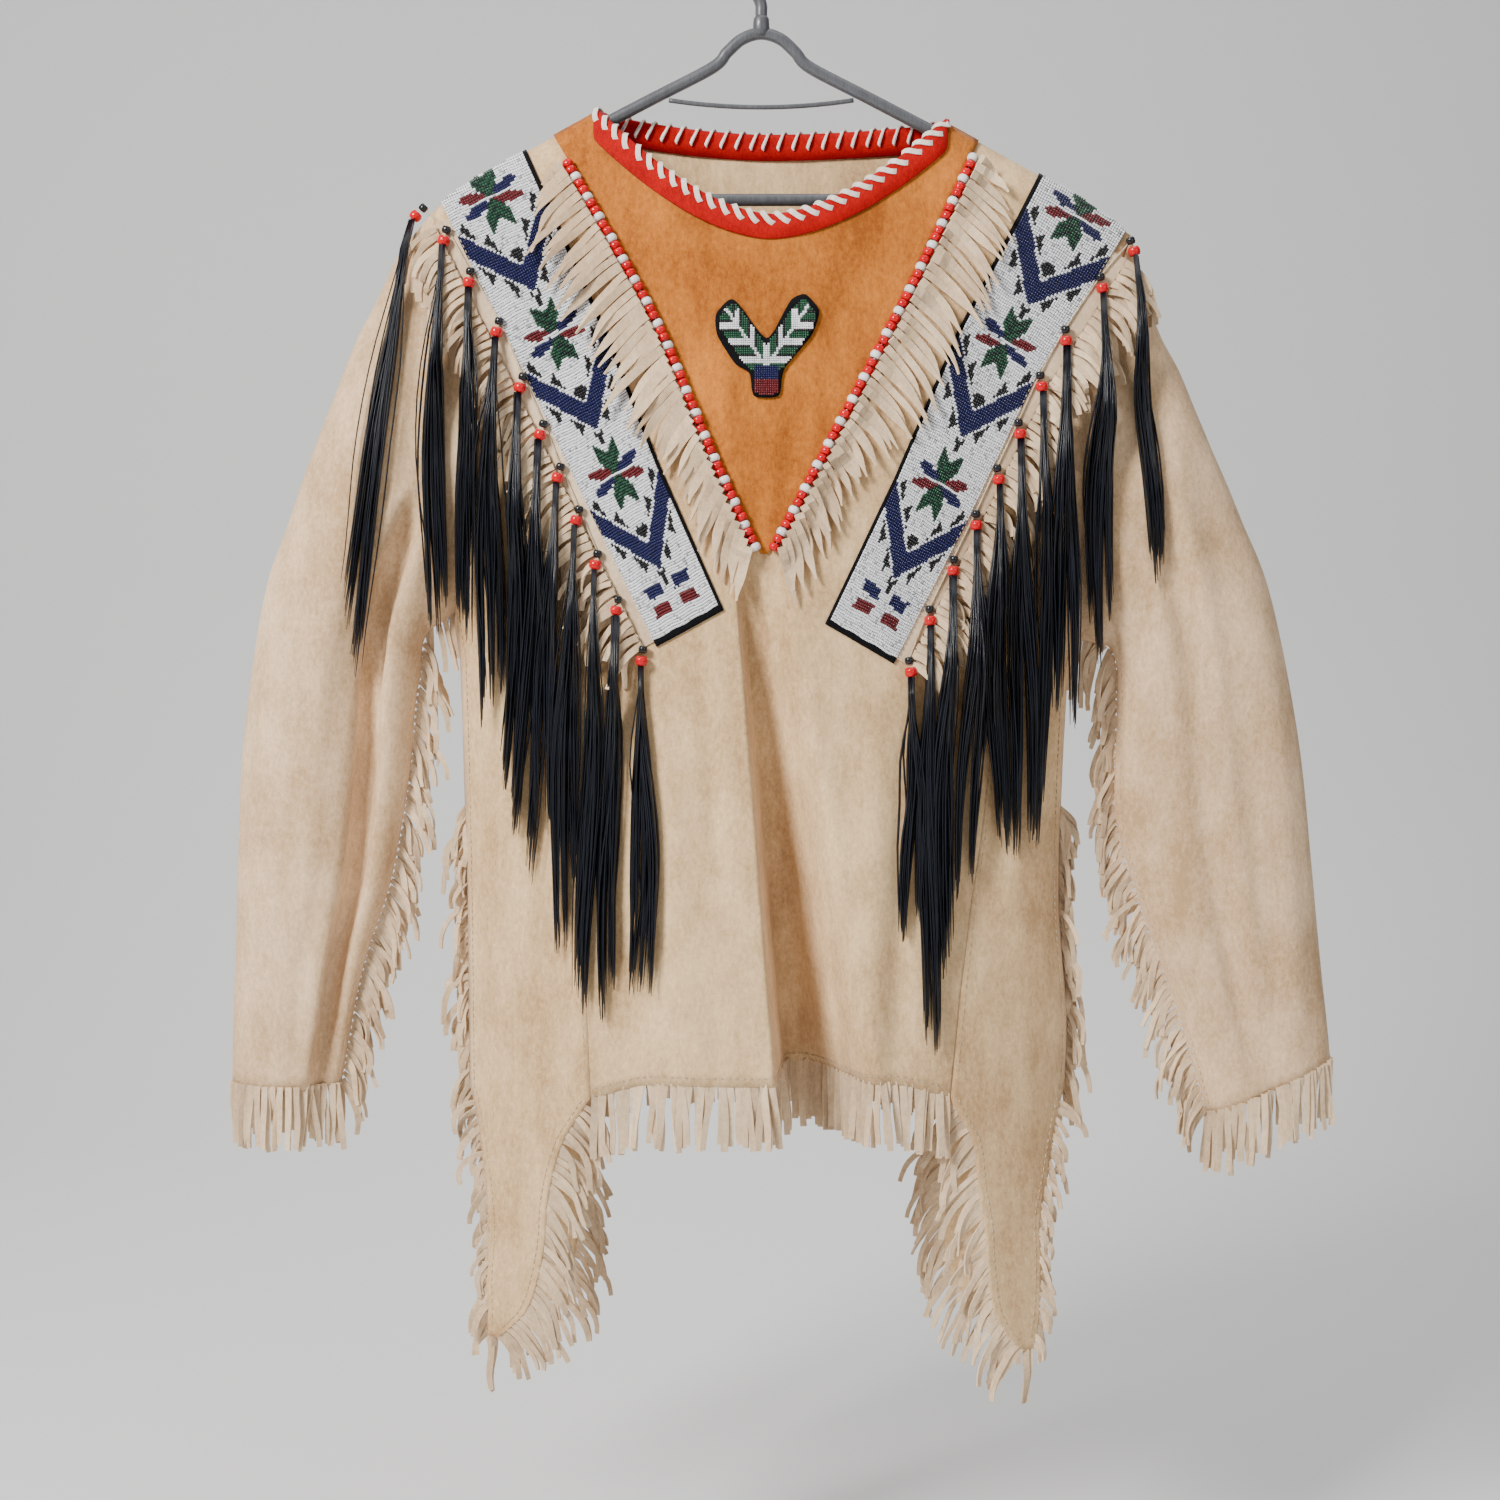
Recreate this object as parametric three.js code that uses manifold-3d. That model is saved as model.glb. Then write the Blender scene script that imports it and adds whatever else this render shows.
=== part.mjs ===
// A hide war shirt on a tube hanger. Millimetres, +Z up, the shirt's front faces -Y.
// The origin is the inner top of the hanger's hook, where a rail would carry it.
import * as THREE from 'three';
import Module from 'manifold-3d';

const wasm = await Module();
wasm.setup();

// ---------------------------------------------------------------- driving sizes

const HIDE = 2;              // thickness of a hide wall
const SEAM = 0.4;            // gap between two pieces that are sewn edge to edge
const LIFT = 0.35;           // gap between a panel and what is sewn flat on it
const BEADWORK = 2.6;        // thickness of a beaded strip
const BAND = 1.2;            // thickness of a fringe band that lies on a panel
const FOLD_RADIUS = 6.8;     // radius of the hide where it folds over the hanger's arm
const HANGER_TUBE = 4.5;     // radius of the hanger's tube
const ROD = 1.75;            // radius of the hanger's cross rod

// The shoulder line: a straight slope over the hanger's arm, which sags past the arm's end.
const SHOULDER = { height: -78.1, slope: 0.54, armEnd: 201, neckHalf: 110 };

// The hanger's arms: the height of the tube's middle is height - slope * |x|.
const ARM = { height: -92.4, slope: 0.509, archHalf: 36, archTop: -86.1, end: 203, bar: -206 };

// The hook is a circle round (0, hookZ), from the stem up the left side and over.
const HOOK = { z: -24.5, radius: 29, from: 220, to: -35 };

// Half widths of the body at each height: down the armhole to the armpit, then the side seam.
// The seam rows run from the armhole to the hem; the tab rows are the leg below the hem.
const LEFT = {
  name: 'left', sign: -1, sag: 0.0039, shoulderZ: -215, armpitZ: -509, seamTop: -395,
  neck: 120.5, neckFoot: 75,
  edge: [
    { z: -215, x: 241.5 }, { z: -280, x: 222 }, { z: -340, x: 206 }, { z: -412, x: 201.5 },
    { z: -465, x: 211 }, { z: -509, x: 228.4 }, { z: -545, x: 225 }, { z: -700, x: 222 },
    { z: -860, x: 221 },
  ],
  seam: [
    { z: -395, x: 202.3 }, { z: -450, x: 186 }, { z: -520, x: 165 }, { z: -600, x: 149 },
    { z: -734, x: 131 }, { z: -780, x: 127 }, { z: -860, x: 123.6 },
  ],
  tab: [
    { z: -870, inner: 131, outer: 217 }, { z: -893, inner: 145, outer: 211.5 },
    { z: -933, inner: 156, outer: 205 }, { z: -970, inner: 159, outer: 202.5 },
    { z: -999, inner: 165, outer: 204 }, { z: -1020, inner: 173, outer: 204 },
    { z: -1036, inner: 187, outer: 203.5 }, { z: -1044, inner: 196, outer: 202.5 },
  ],
};
const RIGHT = {
  name: 'right', sign: 1, sag: 0.00135, shoulderZ: -232, armpitZ: -529.6, seamTop: -415,
  neck: 134.9, neckFoot: 106,
  edge: [
    { z: -232, x: 272 }, { z: -295, x: 247 }, { z: -360, x: 225 }, { z: -430, x: 214 },
    { z: -485, x: 221 }, { z: -529.6, x: 234.6 }, { z: -565, x: 229 }, { z: -720, x: 225 },
    { z: -812, x: 232 }, { z: -870, x: 231 },
  ],
  seam: [
    { z: -415, x: 214.9 }, { z: -470, x: 197 }, { z: -540, x: 180 }, { z: -620, x: 168 },
    { z: -712, x: 155.6 }, { z: -770, x: 147 }, { z: -860, x: 137.5 },
  ],
  tab: [
    { z: -870, inner: 142, outer: 226 }, { z: -893, inner: 154.5, outer: 220 },
    { z: -926, inner: 159, outer: 213.5 }, { z: -955, inner: 164, outer: 207.5 },
    { z: -985, inner: 166, outer: 207.5 }, { z: -1019, inner: 171, outer: 206.5 },
    { z: -1040, inner: 182, outer: 204 }, { z: -1052, inner: 194, outer: 201 },
  ],
};
const BACK_TAB = [
  { z: -870, inner: 139.5, outer: 220 }, { z: -900, inner: 141, outer: 213 },
  { z: -950, inner: 142, outer: 207 }, { z: -989, inner: 143, outer: 205 },
  { z: -1025, inner: 149, outer: 205 }, { z: -1046, inner: 162, outer: 204 },
  { z: -1056, inner: 180, outer: 202 },
];

const NECK_MID = 7;          // x of the lowest point of the neck hole
const FRONT_NECK = -223;     // its height at the front
const BACK_NECK = -157;      // and at the back
const HEM = { z: -848, cornerDrop: 12, flatHalf: 85, half: 140 };

// The deep central fold of the front, which leans to the right as it goes down.
// Its profile rises over `lip`, is full over `floor` and fades out at `end`.
const FOLD = {
  top: -470, depth: 88, length: 380, x: -4, z: -571, lean: 0.098,
  lip: -14, floorLeft: -4, floorRight: 8, end: 64,
};
const FOLD_COLUMNS = [-14, -9, -4, 8, 32, 64];

// Sleeve sections below the armhole: outer edge, inner edge, how far the middle bows towards the
// body, half depth, and the depth and place (0 outer edge, 1 inner edge) of the front's fold.
const SLEEVES = {
  left: [
    { ox: -267, oz: -246, ix: -236, iz: -515, bow: 22, depth: 31, fold: 0, at: 0.5 },
    { ox: -286, oz: -284, ix: -243, iz: -519, bow: 14, depth: 32, fold: 2, at: 0.55 },
    { ox: -304, oz: -320, ix: -249, iz: -524, bow: 8, depth: 33, fold: 5, at: 0.6 },
    { ox: -329, oz: -382, ix: -253, iz: -535, bow: 3, depth: 34, fold: 12, at: 0.62 },
    { ox: -350, oz: -439, ix: -255, iz: -555, bow: 0, depth: 34, fold: 18, at: 0.64 },
    { ox: -370, oz: -496, ix: -259, iz: -582, bow: 0, depth: 33, fold: 22, at: 0.66 },
    { ox: -387, oz: -600, ix: -265, iz: -636, bow: 0, depth: 31, fold: 20, at: 0.7 },
    { ox: -393, oz: -690, ix: -278, iz: -708, bow: 0, depth: 29, fold: 17, at: 0.74 },
    { ox: -397, oz: -775, ix: -301, iz: -777, bow: 0, depth: 27, fold: 14, at: 0.8 },
    { ox: -400.5, oz: -864, ix: -318.6, iz: -866, bow: 0, depth: 25, fold: 9, at: 0.85 },
  ],
  right: [
    { ox: 283, oz: -268, ix: 243, iz: -530.5, bow: -24, depth: 31, fold: 0, at: 0.5 },
    { ox: 295, oz: -305, ix: 252, iz: -532, bow: -16, depth: 32, fold: 0, at: 0.5 },
    { ox: 312, oz: -337, ix: 261, iz: -536, bow: -10, depth: 32, fold: 2, at: 0.5 },
    { ox: 334, oz: -388, ix: 266, iz: -549, bow: -4, depth: 32, fold: 4, at: 0.45 },
    { ox: 356, oz: -438, ix: 267, iz: -575, bow: 0, depth: 31, fold: 6, at: 0.42 },
    { ox: 379, oz: -494, ix: 266, iz: -612, bow: 0, depth: 30, fold: 7, at: 0.4 },
    { ox: 402, oz: -600, ix: 268, iz: -668, bow: 0, depth: 28, fold: 6, at: 0.4 },
    { ox: 414, oz: -697, ix: 289, iz: -738, bow: 0, depth: 27, fold: 5, at: 0.42 },
    { ox: 424, oz: -785, ix: 314, iz: -805, bow: 0, depth: 25, fold: 4, at: 0.45 },
    { ox: 431, oz: -846, ix: 339, iz: -888, bow: 0, depth: 24, fold: 3, at: 0.5 },
  ],
};

// Lines on the front, each from the shoulder down as [x, z]: the edges of the beaded strips, and
// the bead strands that edge the bib.
const STRIPS = {
  left: {
    inner: [[-171, -180.6], [-114, -307], [-74, -407], [-30.5, -504.6]],
    outer: [[-234, -209.5], [-171, -337], [-124, -435], [-77, -530]],
  },
  right: {
    inner: [[204.3, -193.6], [144, -307], [98, -413], [49.3, -514.6]],
    outer: [[267.4, -229.3], [199, -339], [150, -441], [97.2, -542.3]],
  },
};
const BIB = {
  thickness: 1.2, tipX: 2, tipZ: -468, tipHalf: 3, rows: [1, 2, 3, 4, 5, 6, 7, 7.45],
  across: [0, 0.07, 0.16, 0.33, 0.5, 0.67, 0.84, 0.93, 1],
};
const EDGE_BAND = 11;        // width of the hide band along a strip's outer edge
const V_BAND = 9;            // width of the fringe band outside the bib
const BEAD_LINES = {
  left: [[-141, -183], [-104, -247], [-71.5, -308], [-37, -391], [-3.5, -464]],
  right: [[154, -179], [122, -246], [87, -315], [45, -394], [8, -464]],
};
const BEAD = { count: 54, radius: 4.3, neck: 2.2, sides: 4, seat: 3.5 };

const BINDING = { width: 14, endWidth: 3, innerEnd: 0.6, thickness: 1.5, endThickness: 1, gap: 0.6, lift: 3 };
const BADGE = {
  x: 3.5, z: -316, thickness: 2.4, gap: 0.9,
  outline: [
    [0.7, 0], [17.5, 33], [28, 37], [39, 24], [33.5, 7], [11.6, -18], [10, -38], [-10, -38],
    [-11.6, -19.6], [-22.5, -14.5], [-36, 7], [-37, 22], [-24, 35],
  ],
};

const BAND_TOP = { left: -234, right: -262 };  // height where a strip's outer band begins
const LACE_TOP = { left: -213, right: -231 };  // and where the tassels' lace begins
const LACE_LIFT = 1;         // gap between the band and the lace
const STRIP_HEIGHT = 5.5;    // height of the strip that a free fringe hangs from
const STRAND_CLEARANCE = 0.9; // gap under a strand that lies on what is below it
const ROD_REACH = 67.7;      // half length of the hanger's cross rod
const STRANDS = {
  v: 11, strip: { front: 9, back: 6 }, hem: { front: 13, back: 9 }, tab: 6, side: 9, sleeve: 9, cuff: 6,
};

// Radii down a tassel: thong, wrapped stem and red bead, then the lock of hair.
const TASSEL_HEAD = [
  { drop: 0, radius: 0.6 }, { drop: 4, radius: 2.7 }, { drop: 12, radius: 2.7 },
  { drop: 15, radius: 4.4 }, { drop: 20, radius: 3.4 },
];
const LOCK = [
  { share: 0.3, radius: 5 }, { share: 0.75, radius: 4.2 }, { share: 1, radius: 1.2 },
];

const TASSELS = {
  front: {
    left: [
      { x: -245, z: -216, length: 320, drift: -46 }, { x: -228, z: -232, length: 285, drift: -8 },
      { x: -210.5, z: -262, length: 262, drift: -2 }, { x: -189.4, z: -298, length: 300, drift: -8 },
      { x: -172, z: -338, length: 330, drift: -10 }, { x: -157, z: -372, length: 320, drift: -12 },
      { x: -144.5, z: -403, length: 270, drift: -10 }, { x: -131, z: -434, length: 300, drift: -9 },
      { x: -117.5, z: -466, length: 330, drift: -6 }, { x: -103, z: -499, length: 300, drift: -3 },
      { x: -84.7, z: -535, length: 265, drift: -2 },
    ],
    right: [
      { x: 268, z: -240, length: 250, drift: 12 }, { x: 245.7, z: -266, length: 262, drift: 3 },
      { x: 220, z: -304, length: 300, drift: -2 }, { x: 201.5, z: -337, length: 330, drift: 2 },
      { x: 185.8, z: -371, length: 305, drift: 2 }, { x: 170.1, z: -404, length: 270, drift: 3 },
      { x: 154.7, z: -437, length: 285, drift: -4 }, { x: 138.5, z: -470, length: 300, drift: -8 },
      { x: 121, z: -506, length: 325, drift: -3 }, { x: 106, z: -543, length: 205, drift: 3 },
    ],
  },
  back: {
    left: [
      { x: -222, z: -244, length: 270, drift: -20 }, { x: -184, z: -310, length: 300, drift: -8 },
      { x: -150, z: -382, length: 280, drift: -4 }, { x: -118, z: -458, length: 300, drift: 0 },
      { x: -85, z: -532, length: 260, drift: 2 },
    ],
    right: [
      { x: 249, z: -262, length: 270, drift: 22 }, { x: 210, z: -324, length: 300, drift: 8 },
      { x: 176, z: -392, length: 280, drift: 4 }, { x: 142, z: -464, length: 300, drift: 0 },
      { x: 107, z: -541, length: 250, drift: -2 },
    ],
  },
};

// ---------------------------------------------------------------- small helpers

const { lerp, clamp, smoothstep } = THREE.MathUtils;

/** A table's column at height z: a smooth curve through its rows, held past both ends. */
function readTable(rows, column, z) {
  if (z >= rows[0].z) return rows[0][column];
  if (z <= rows.at(-1).z) return rows.at(-1)[column];
  const i = rows.findIndex((row, k) => rows[k + 1].z <= z);
  const slope = (k) => {
    const above = rows[Math.max(k - 1, 0)];
    const below = rows[Math.min(k + 1, rows.length - 1)];
    return (below[column] - above[column]) / (below.z - above.z);
  };
  const step = rows[i + 1].z - rows[i].z;
  const t = (z - rows[i].z) / step;
  const ease = t * t * (3 - 2 * t);
  const bend = t * (1 - t) * ((1 - t) * slope(i) - t * slope(i + 1));
  return lerp(rows[i][column], rows[i + 1][column], ease) + step * bend;
}

/** Splits each given share of 0..1 in n equal steps. */
const steps = (n) => Array.from({ length: n + 1 }, (_, i) => i / n);

// ---------------------------------------------------------------- the body's surface

const sideOf = (x) => (x < NECK_MID ? LEFT : RIGHT);

/** Height of the shoulder fold above x; inside the neck hole it only shapes the chest. */
function ridge(x) {
  const out = Math.abs(x);
  const { height, slope, armEnd, neckHalf } = SHOULDER;
  if (out < neckHalf) {
    return height - slope * (neckHalf / 2 + (out * out) / (2 * neckHalf));
  }
  const past = Math.max(0, out - armEnd);
  return height - slope * out - sideOf(x).sag * past * past;
}

/** How far the front and back are drawn together at the side: 0 open, 1 joined. */
function drawnIn(side, z) {
  if (z > side.armpitZ) {
    return clamp((side.shoulderZ - z) / (side.shoulderZ - side.armpitZ), 0, 1);
  }
  return 1 - 0.15 * smoothstep(-z, 850, 1040);
}

/** Share of a parabolic drape's depth that the front or the back really has. */
const DRAPE = {
  front: (drop) => 0.78 + 0.22 * Math.exp(-drop / 35) + 0.13 * smoothstep(drop, 400, 800),
  back: (drop) => 0.57 + 0.43 * Math.exp(-drop / 90),
};

/** Square of the body's half depth at (x, z). */
function depthSquared(face, x, z) {
  const side = sideOf(x);
  const drop = ridge(x) - z;
  const across = x / readTable(side.edge, 'x', z);
  const share = DRAPE[face](Math.max(drop, 0));
  return 2 * FOLD_RADIUS * drop * share * share * (1 - drawnIn(side, z) * across * across);
}

/** How far the central fold pushes the front inwards at (x, z). */
function foldInwards(x, z) {
  const run = clamp((FOLD.top - z) / FOLD.length, 0, 1.05);
  if (run === 0) return 0;
  const s = (x - foldMiddle(z)) / foldScale(z);
  const rise = smoothstep(s, FOLD.lip, FOLD.floorLeft);
  const fade = 1 - smoothstep(s, FOLD.floorRight, FOLD.end);
  return FOLD.depth * run ** 0.85 * rise * fade;
}

const foldMiddle = (z) => FOLD.x + FOLD.lean * (FOLD.z - z);
const foldScale = (z) => lerp(0.5, 1, clamp((FOLD.top - z) / FOLD.length, 0, 1));

/** A point of the body's outer surface, moved out along its normal. */
function onBody(face, x, z, out = 0) {
  const sign = face === 'front' ? -1 : 1;
  const shift = (u, v) => (sign * SEAM) / 2 + (face === 'front' ? foldInwards(u, v) : 0);
  const half = sign * Math.sqrt(Math.max(depthSquared(face, x, z), 0));
  const e = 0.05;
  const slopeOf = (f) => [
    (f(x + e, z) - f(x - e, z)) / (2 * e),
    (f(x, z + e) - f(x, z - e)) / (2 * e),
  ];
  const [areaX, areaZ] = slopeOf((u, v) => depthSquared(face, u, v));
  const [shiftX, shiftZ] = slopeOf(shift);
  const normal = new THREE.Vector3(
    -areaX - 2 * half * shiftX, 2 * half, -areaZ - 2 * half * shiftZ,
  ).normalize();
  return new THREE.Vector3(x, half + shift(x, z), z).addScaledVector(normal, out);
}

// ---------------------------------------------------------------- meshes and solids

/** A closed geometry from vertices and triangles, turned so that its faces point out. */
function closedGeometry(vertices, faces) {
  const volume = faces.reduce((sum, [a, b, c]) => {
    const cross = new THREE.Vector3().crossVectors(vertices[b], vertices[c]);
    return sum + vertices[a].dot(cross);
  }, 0);
  const index = faces.flatMap(([a, b, c]) => (volume < 0 ? [a, c, b] : [a, b, c]));
  const geometry = new THREE.BufferGeometry().setFromPoints(vertices);
  geometry.setIndex(index);
  return geometry;
}

/** A wall between an outer and an inner grid of points; `round` joins last column to first. */
function wall(outer, inner, round = false) {
  const rows = outer.length;
  const columns = outer[0].length;
  const vertices = [...outer.flat(), ...inner.flat()];
  const at = (layer, r, c) => layer * rows * columns + r * columns + (c % columns);
  const faces = [];
  const quad = (a, b, c, d) => faces.push([a, b, c], [a, c, d]);
  const lastColumn = round ? columns : columns - 1;
  for (let r = 0; r < rows - 1; r += 1) {
    for (let c = 0; c < lastColumn; c += 1) {
      quad(at(0, r, c), at(0, r + 1, c), at(0, r + 1, c + 1), at(0, r, c + 1));
      quad(at(1, r, c), at(1, r, c + 1), at(1, r + 1, c + 1), at(1, r + 1, c));
    }
    if (!round) {
      quad(at(0, r, 0), at(1, r, 0), at(1, r + 1, 0), at(0, r + 1, 0));
      quad(at(0, r, columns - 1), at(0, r + 1, columns - 1), at(1, r + 1, columns - 1), at(1, r, columns - 1));
    }
  }
  for (let c = 0; c < lastColumn; c += 1) {
    quad(at(0, 0, c), at(0, 0, c + 1), at(1, 0, c + 1), at(1, 0, c));
    quad(at(0, rows - 1, c), at(1, rows - 1, c), at(1, rows - 1, c + 1), at(0, rows - 1, c + 1));
  }
  return closedGeometry(vertices, faces);
}

/** A body lofted through closed rings of points, capped at both ends or closed on itself. */
function loft(rings, loop = false) {
  const sides = rings[0].length;
  const faces = [];
  const last = loop ? rings.length : rings.length - 1;
  for (let r = 0; r < last; r += 1) {
    const here = r * sides;
    const next = ((r + 1) % rings.length) * sides;
    for (let s = 0; s < sides; s += 1) {
      const t = (s + 1) % sides;
      faces.push([here + s, next + s, next + t], [here + s, next + t, here + t]);
    }
  }
  if (!loop) {
    const end = (rings.length - 1) * sides;
    for (let s = 1; s < sides - 1; s += 1) {
      faces.push([0, s, s + 1], [end, end + s + 1, end + s]);
    }
  }
  return closedGeometry(rings.flat(), faces);
}

/** A round section of the given radii at each point of a path; `across` fixes its first side. */
function roundRings(points, radii, sides, loop = false, across = new THREE.Vector3(0, 1, 0)) {
  const count = points.length;
  return points.map((point, i) => {
    const before = points[loop ? (i + count - 1) % count : Math.max(i - 1, 0)];
    const after = points[loop ? (i + 1) % count : Math.min(i + 1, count - 1)];
    const along = new THREE.Vector3().subVectors(after, before).normalize();
    const u = across.clone().addScaledVector(along, -across.dot(along)).normalize();
    const v = new THREE.Vector3().crossVectors(along, u);
    const radius = Array.isArray(radii) ? radii[i] : radii;
    return Array.from({ length: sides }, (_, s) => {
      const angle = (2 * Math.PI * (s + 0.5)) / sides;
      return point.clone().addScaledVector(u, radius * Math.cos(angle))
        .addScaledVector(v, radius * Math.sin(angle));
    });
  });
}

/** Fringe strand with a flat back and a raised middle, tapering along its path. */
function strand(points, widths, thickness, facing) {
  const rings = points.map((point, i) => {
    const before = points[Math.max(i - 1, 0)];
    const after = points[Math.min(i + 1, points.length - 1)];
    const side = new THREE.Vector3(after.z - before.z, 0, before.x - after.x).normalize();
    const half = widths[i] / 2;
    return [
      point.clone().addScaledVector(side, half),
      point.clone().addScaledVector(side, -half),
      point.clone().add(new THREE.Vector3(0, facing * thickness[i], 0)),
    ];
  });
  return loft(rings);
}

const toSolid = (geometry) => new wasm.Manifold(new wasm.Mesh({
  numProp: 3,
  vertProperties: new Float32Array(geometry.attributes.position.array),
  triVerts: new Uint32Array(geometry.index.array),
}));

function toGeometry(solid) {
  const mesh = solid.getMesh();
  const geometry = new THREE.BufferGeometry();
  geometry.setAttribute('position', new THREE.BufferAttribute(mesh.vertProperties, 3));
  geometry.setIndex(new THREE.BufferAttribute(mesh.triVerts, 1));
  return geometry;
}

/** One body from several closed geometries that overlap. */
const fuse = (geometries) => toGeometry(geometries.map(toSolid).reduce((a, b) => a.add(b)));

// ---------------------------------------------------------------- what lies on what

/** Heights of all that has been laid on one face, to hang loose pieces in front of it. */
class Relief {
  constructor(facing) {
    this.facing = facing;
    this.cell = 2;
    this.width = 480;
    this.rows = 580;
    this.heights = new Float32Array(this.width * this.rows).fill(-Infinity);
  }

  /** Rasterizes a geometry's triangles, keeping the height that stands out furthest. */
  lay(geometry) {
    const position = geometry.attributes.position;
    const index = geometry.index.array;
    const corner = [0, 1, 2].map(() => new THREE.Vector3());
    for (let i = 0; i < index.length; i += 3) {
      corner.forEach((v, k) => v.fromBufferAttribute(position, index[i + k]));
      this.layTriangle(...corner);
    }
    return geometry;
  }

  layTriangle(a, b, c) {
    const area = (b.x - a.x) * (c.z - a.z) - (c.x - a.x) * (b.z - a.z);
    if (Math.abs(area) < 1e-6) return;
    const low = Math.min(a.y * this.facing, b.y * this.facing, c.y * this.facing);
    const high = Math.max(a.y * this.facing, b.y * this.facing, c.y * this.facing);
    const [left, right] = [Math.min(a.x, b.x, c.x), Math.max(a.x, b.x, c.x)];
    const [bottom, top] = [Math.min(a.z, b.z, c.z), Math.max(a.z, b.z, c.z)];
    const column = (x) => Math.round(x / this.cell) + this.width / 2;
    const row = (z) => Math.round(-z / this.cell);
    for (let r = row(top); r <= row(bottom); r += 1) {
      for (let k = column(left); k <= column(right); k += 1) {
        const x = (k - this.width / 2) * this.cell;
        const z = -r * this.cell;
        const u = ((x - a.x) * (c.z - a.z) - (c.x - a.x) * (z - a.z)) / area;
        const v = ((b.x - a.x) * (z - a.z) - (x - a.x) * (b.z - a.z)) / area;
        const slack = 2 * this.cell / Math.sqrt(Math.abs(area));
        if (u < -slack || v < -slack || u + v > 1 + slack) continue;
        const y = this.facing * (a.y + u * (b.y - a.y) + v * (c.y - a.y));
        const at = r * this.width + k;
        this.heights[at] = Math.max(this.heights[at], clamp(y, low, high));
      }
    }
  }

  /** The height that stands out furthest within `reach` of (x, z), or -Infinity. */
  at(x, z, reach) {
    const n = Math.ceil(reach / this.cell);
    const k = Math.round(x / this.cell) + this.width / 2;
    const r = Math.round(-z / this.cell);
    let height = -Infinity;
    for (let i = -n; i <= n; i += 1) {
      for (let j = -n; j <= n; j += 1) {
        height = Math.max(height, this.heights[(r + i) * this.width + k + j]);
      }
    }
    return height;
  }

  /** Lays a path on the face: each point clears all that lies within half a step of it. */
  drape(path, clearance, reach, start = -Infinity) {
    let height = start;
    return path.map(([x, z], i) => {
      const before = path[Math.max(i - 1, 0)];
      const after = path[Math.min(i + 1, path.length - 1)];
      const near = steps(8).flatMap((t) => [
        this.at(lerp(x, before[0], t * 0.5), lerp(z, before[1], t * 0.5), reach),
        this.at(lerp(x, after[0], t * 0.5), lerp(z, after[1], t * 0.5), reach),
      ]);
      height = Math.max(height, Math.max(...near) + clearance);
      return new THREE.Vector3(x, this.facing * height, z);
    });
  }
}

const reliefs = { front: new Relief(-1), back: new Relief(1) };

// ---------------------------------------------------------------- the finished group

const shirt = new THREE.Group();
const FINISHES = {
  hide: { color: 0xd9bf98, roughness: 0.92, metalness: 0 },
  bibHide: { color: 0xc68748, roughness: 0.9, metalness: 0 },
  redFelt: { color: 0xc8242c, roughness: 0.95, metalness: 0 },
  redBeads: { color: 0xc01c34, roughness: 0.3, metalness: 0 },
  seedBeads: { color: 0xe9e4da, roughness: 0.4, metalness: 0 },
  hair: { color: 0x1b1c22, roughness: 0.7, metalness: 0 },
  tube: { color: 0x8d97a3, roughness: 0.45, metalness: 0 },
};

function add(name, geometry, finish) {
  const mesh = new THREE.Mesh(geometry, new THREE.MeshStandardMaterial(FINISHES[finish]));
  mesh.name = name;
  shirt.add(mesh);
  reliefs.front.lay(geometry);
  reliefs.back.lay(geometry);
  return geometry;
}

// ---------------------------------------------------------------- front and back panels

const UPPER_ROWS = 7;        // rows from the shoulder or neck to the top of the side seams
const LOWER_ROWS = 6;        // rows from there to the hem
const SIDE_COLUMNS = 5;      // columns between the armhole and the line under the neck's end

/** x of the line that runs down from the neck hole's end. */
const neckLine = (side, z) => side.sign * lerp(side.neck, side.neckFoot, clamp((-144 - z) / 706, 0, 1));

/** x where the panel ends: at the armhole, and below it at the seam with the side piece. */
function panelEdge(side, z) {
  const rows = z > side.seamTop ? side.edge : side.seam;
  const inset = z > side.seamTop ? 0 : SEAM / 2;
  return side.sign * (readTable(rows, 'x', z) - inset);
}

/** Positions from one x to another at the given shares of the way, without the first. */
const between = (from, to, shares) => shares.map((t) => lerp(from, to, t));

const FRONT_SHARES = { left: [0.04, 0.16, 0.48, 1], right: [0.4, 0.78, 0.94, 1] };
const BACK_SHARES = [0.02, 0.1, 0.3, 0.5, 0.7, 0.9, 0.98, 1];

/** The front's column positions at height z, closely spaced across the central fold. */
function frontColumns(z) {
  const scale = lerp(foldScale(z), 1.4, smoothstep(z, FOLD.top, FRONT_NECK));
  const fold = FOLD_COLUMNS.map((s) => foldMiddle(Math.min(z, FOLD.top)) + s * scale);
  return [
    panelEdge(LEFT, z),
    ...between(panelEdge(LEFT, z), neckLine(LEFT, z), steps(SIDE_COLUMNS).slice(1)),
    ...between(neckLine(LEFT, z), fold[0], FRONT_SHARES.left),
    ...fold.slice(1),
    ...between(fold.at(-1), neckLine(RIGHT, z), FRONT_SHARES.right),
    ...between(neckLine(RIGHT, z), panelEdge(RIGHT, z), steps(SIDE_COLUMNS).slice(1)),
  ];
}

const backColumns = (z) => [
  panelEdge(LEFT, z),
  ...between(panelEdge(LEFT, z), neckLine(LEFT, z), steps(SIDE_COLUMNS).slice(1)),
  ...between(neckLine(LEFT, z), neckLine(RIGHT, z), BACK_SHARES),
  ...between(neckLine(RIGHT, z), panelEdge(RIGHT, z), steps(SIDE_COLUMNS).slice(1)),
];

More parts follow.
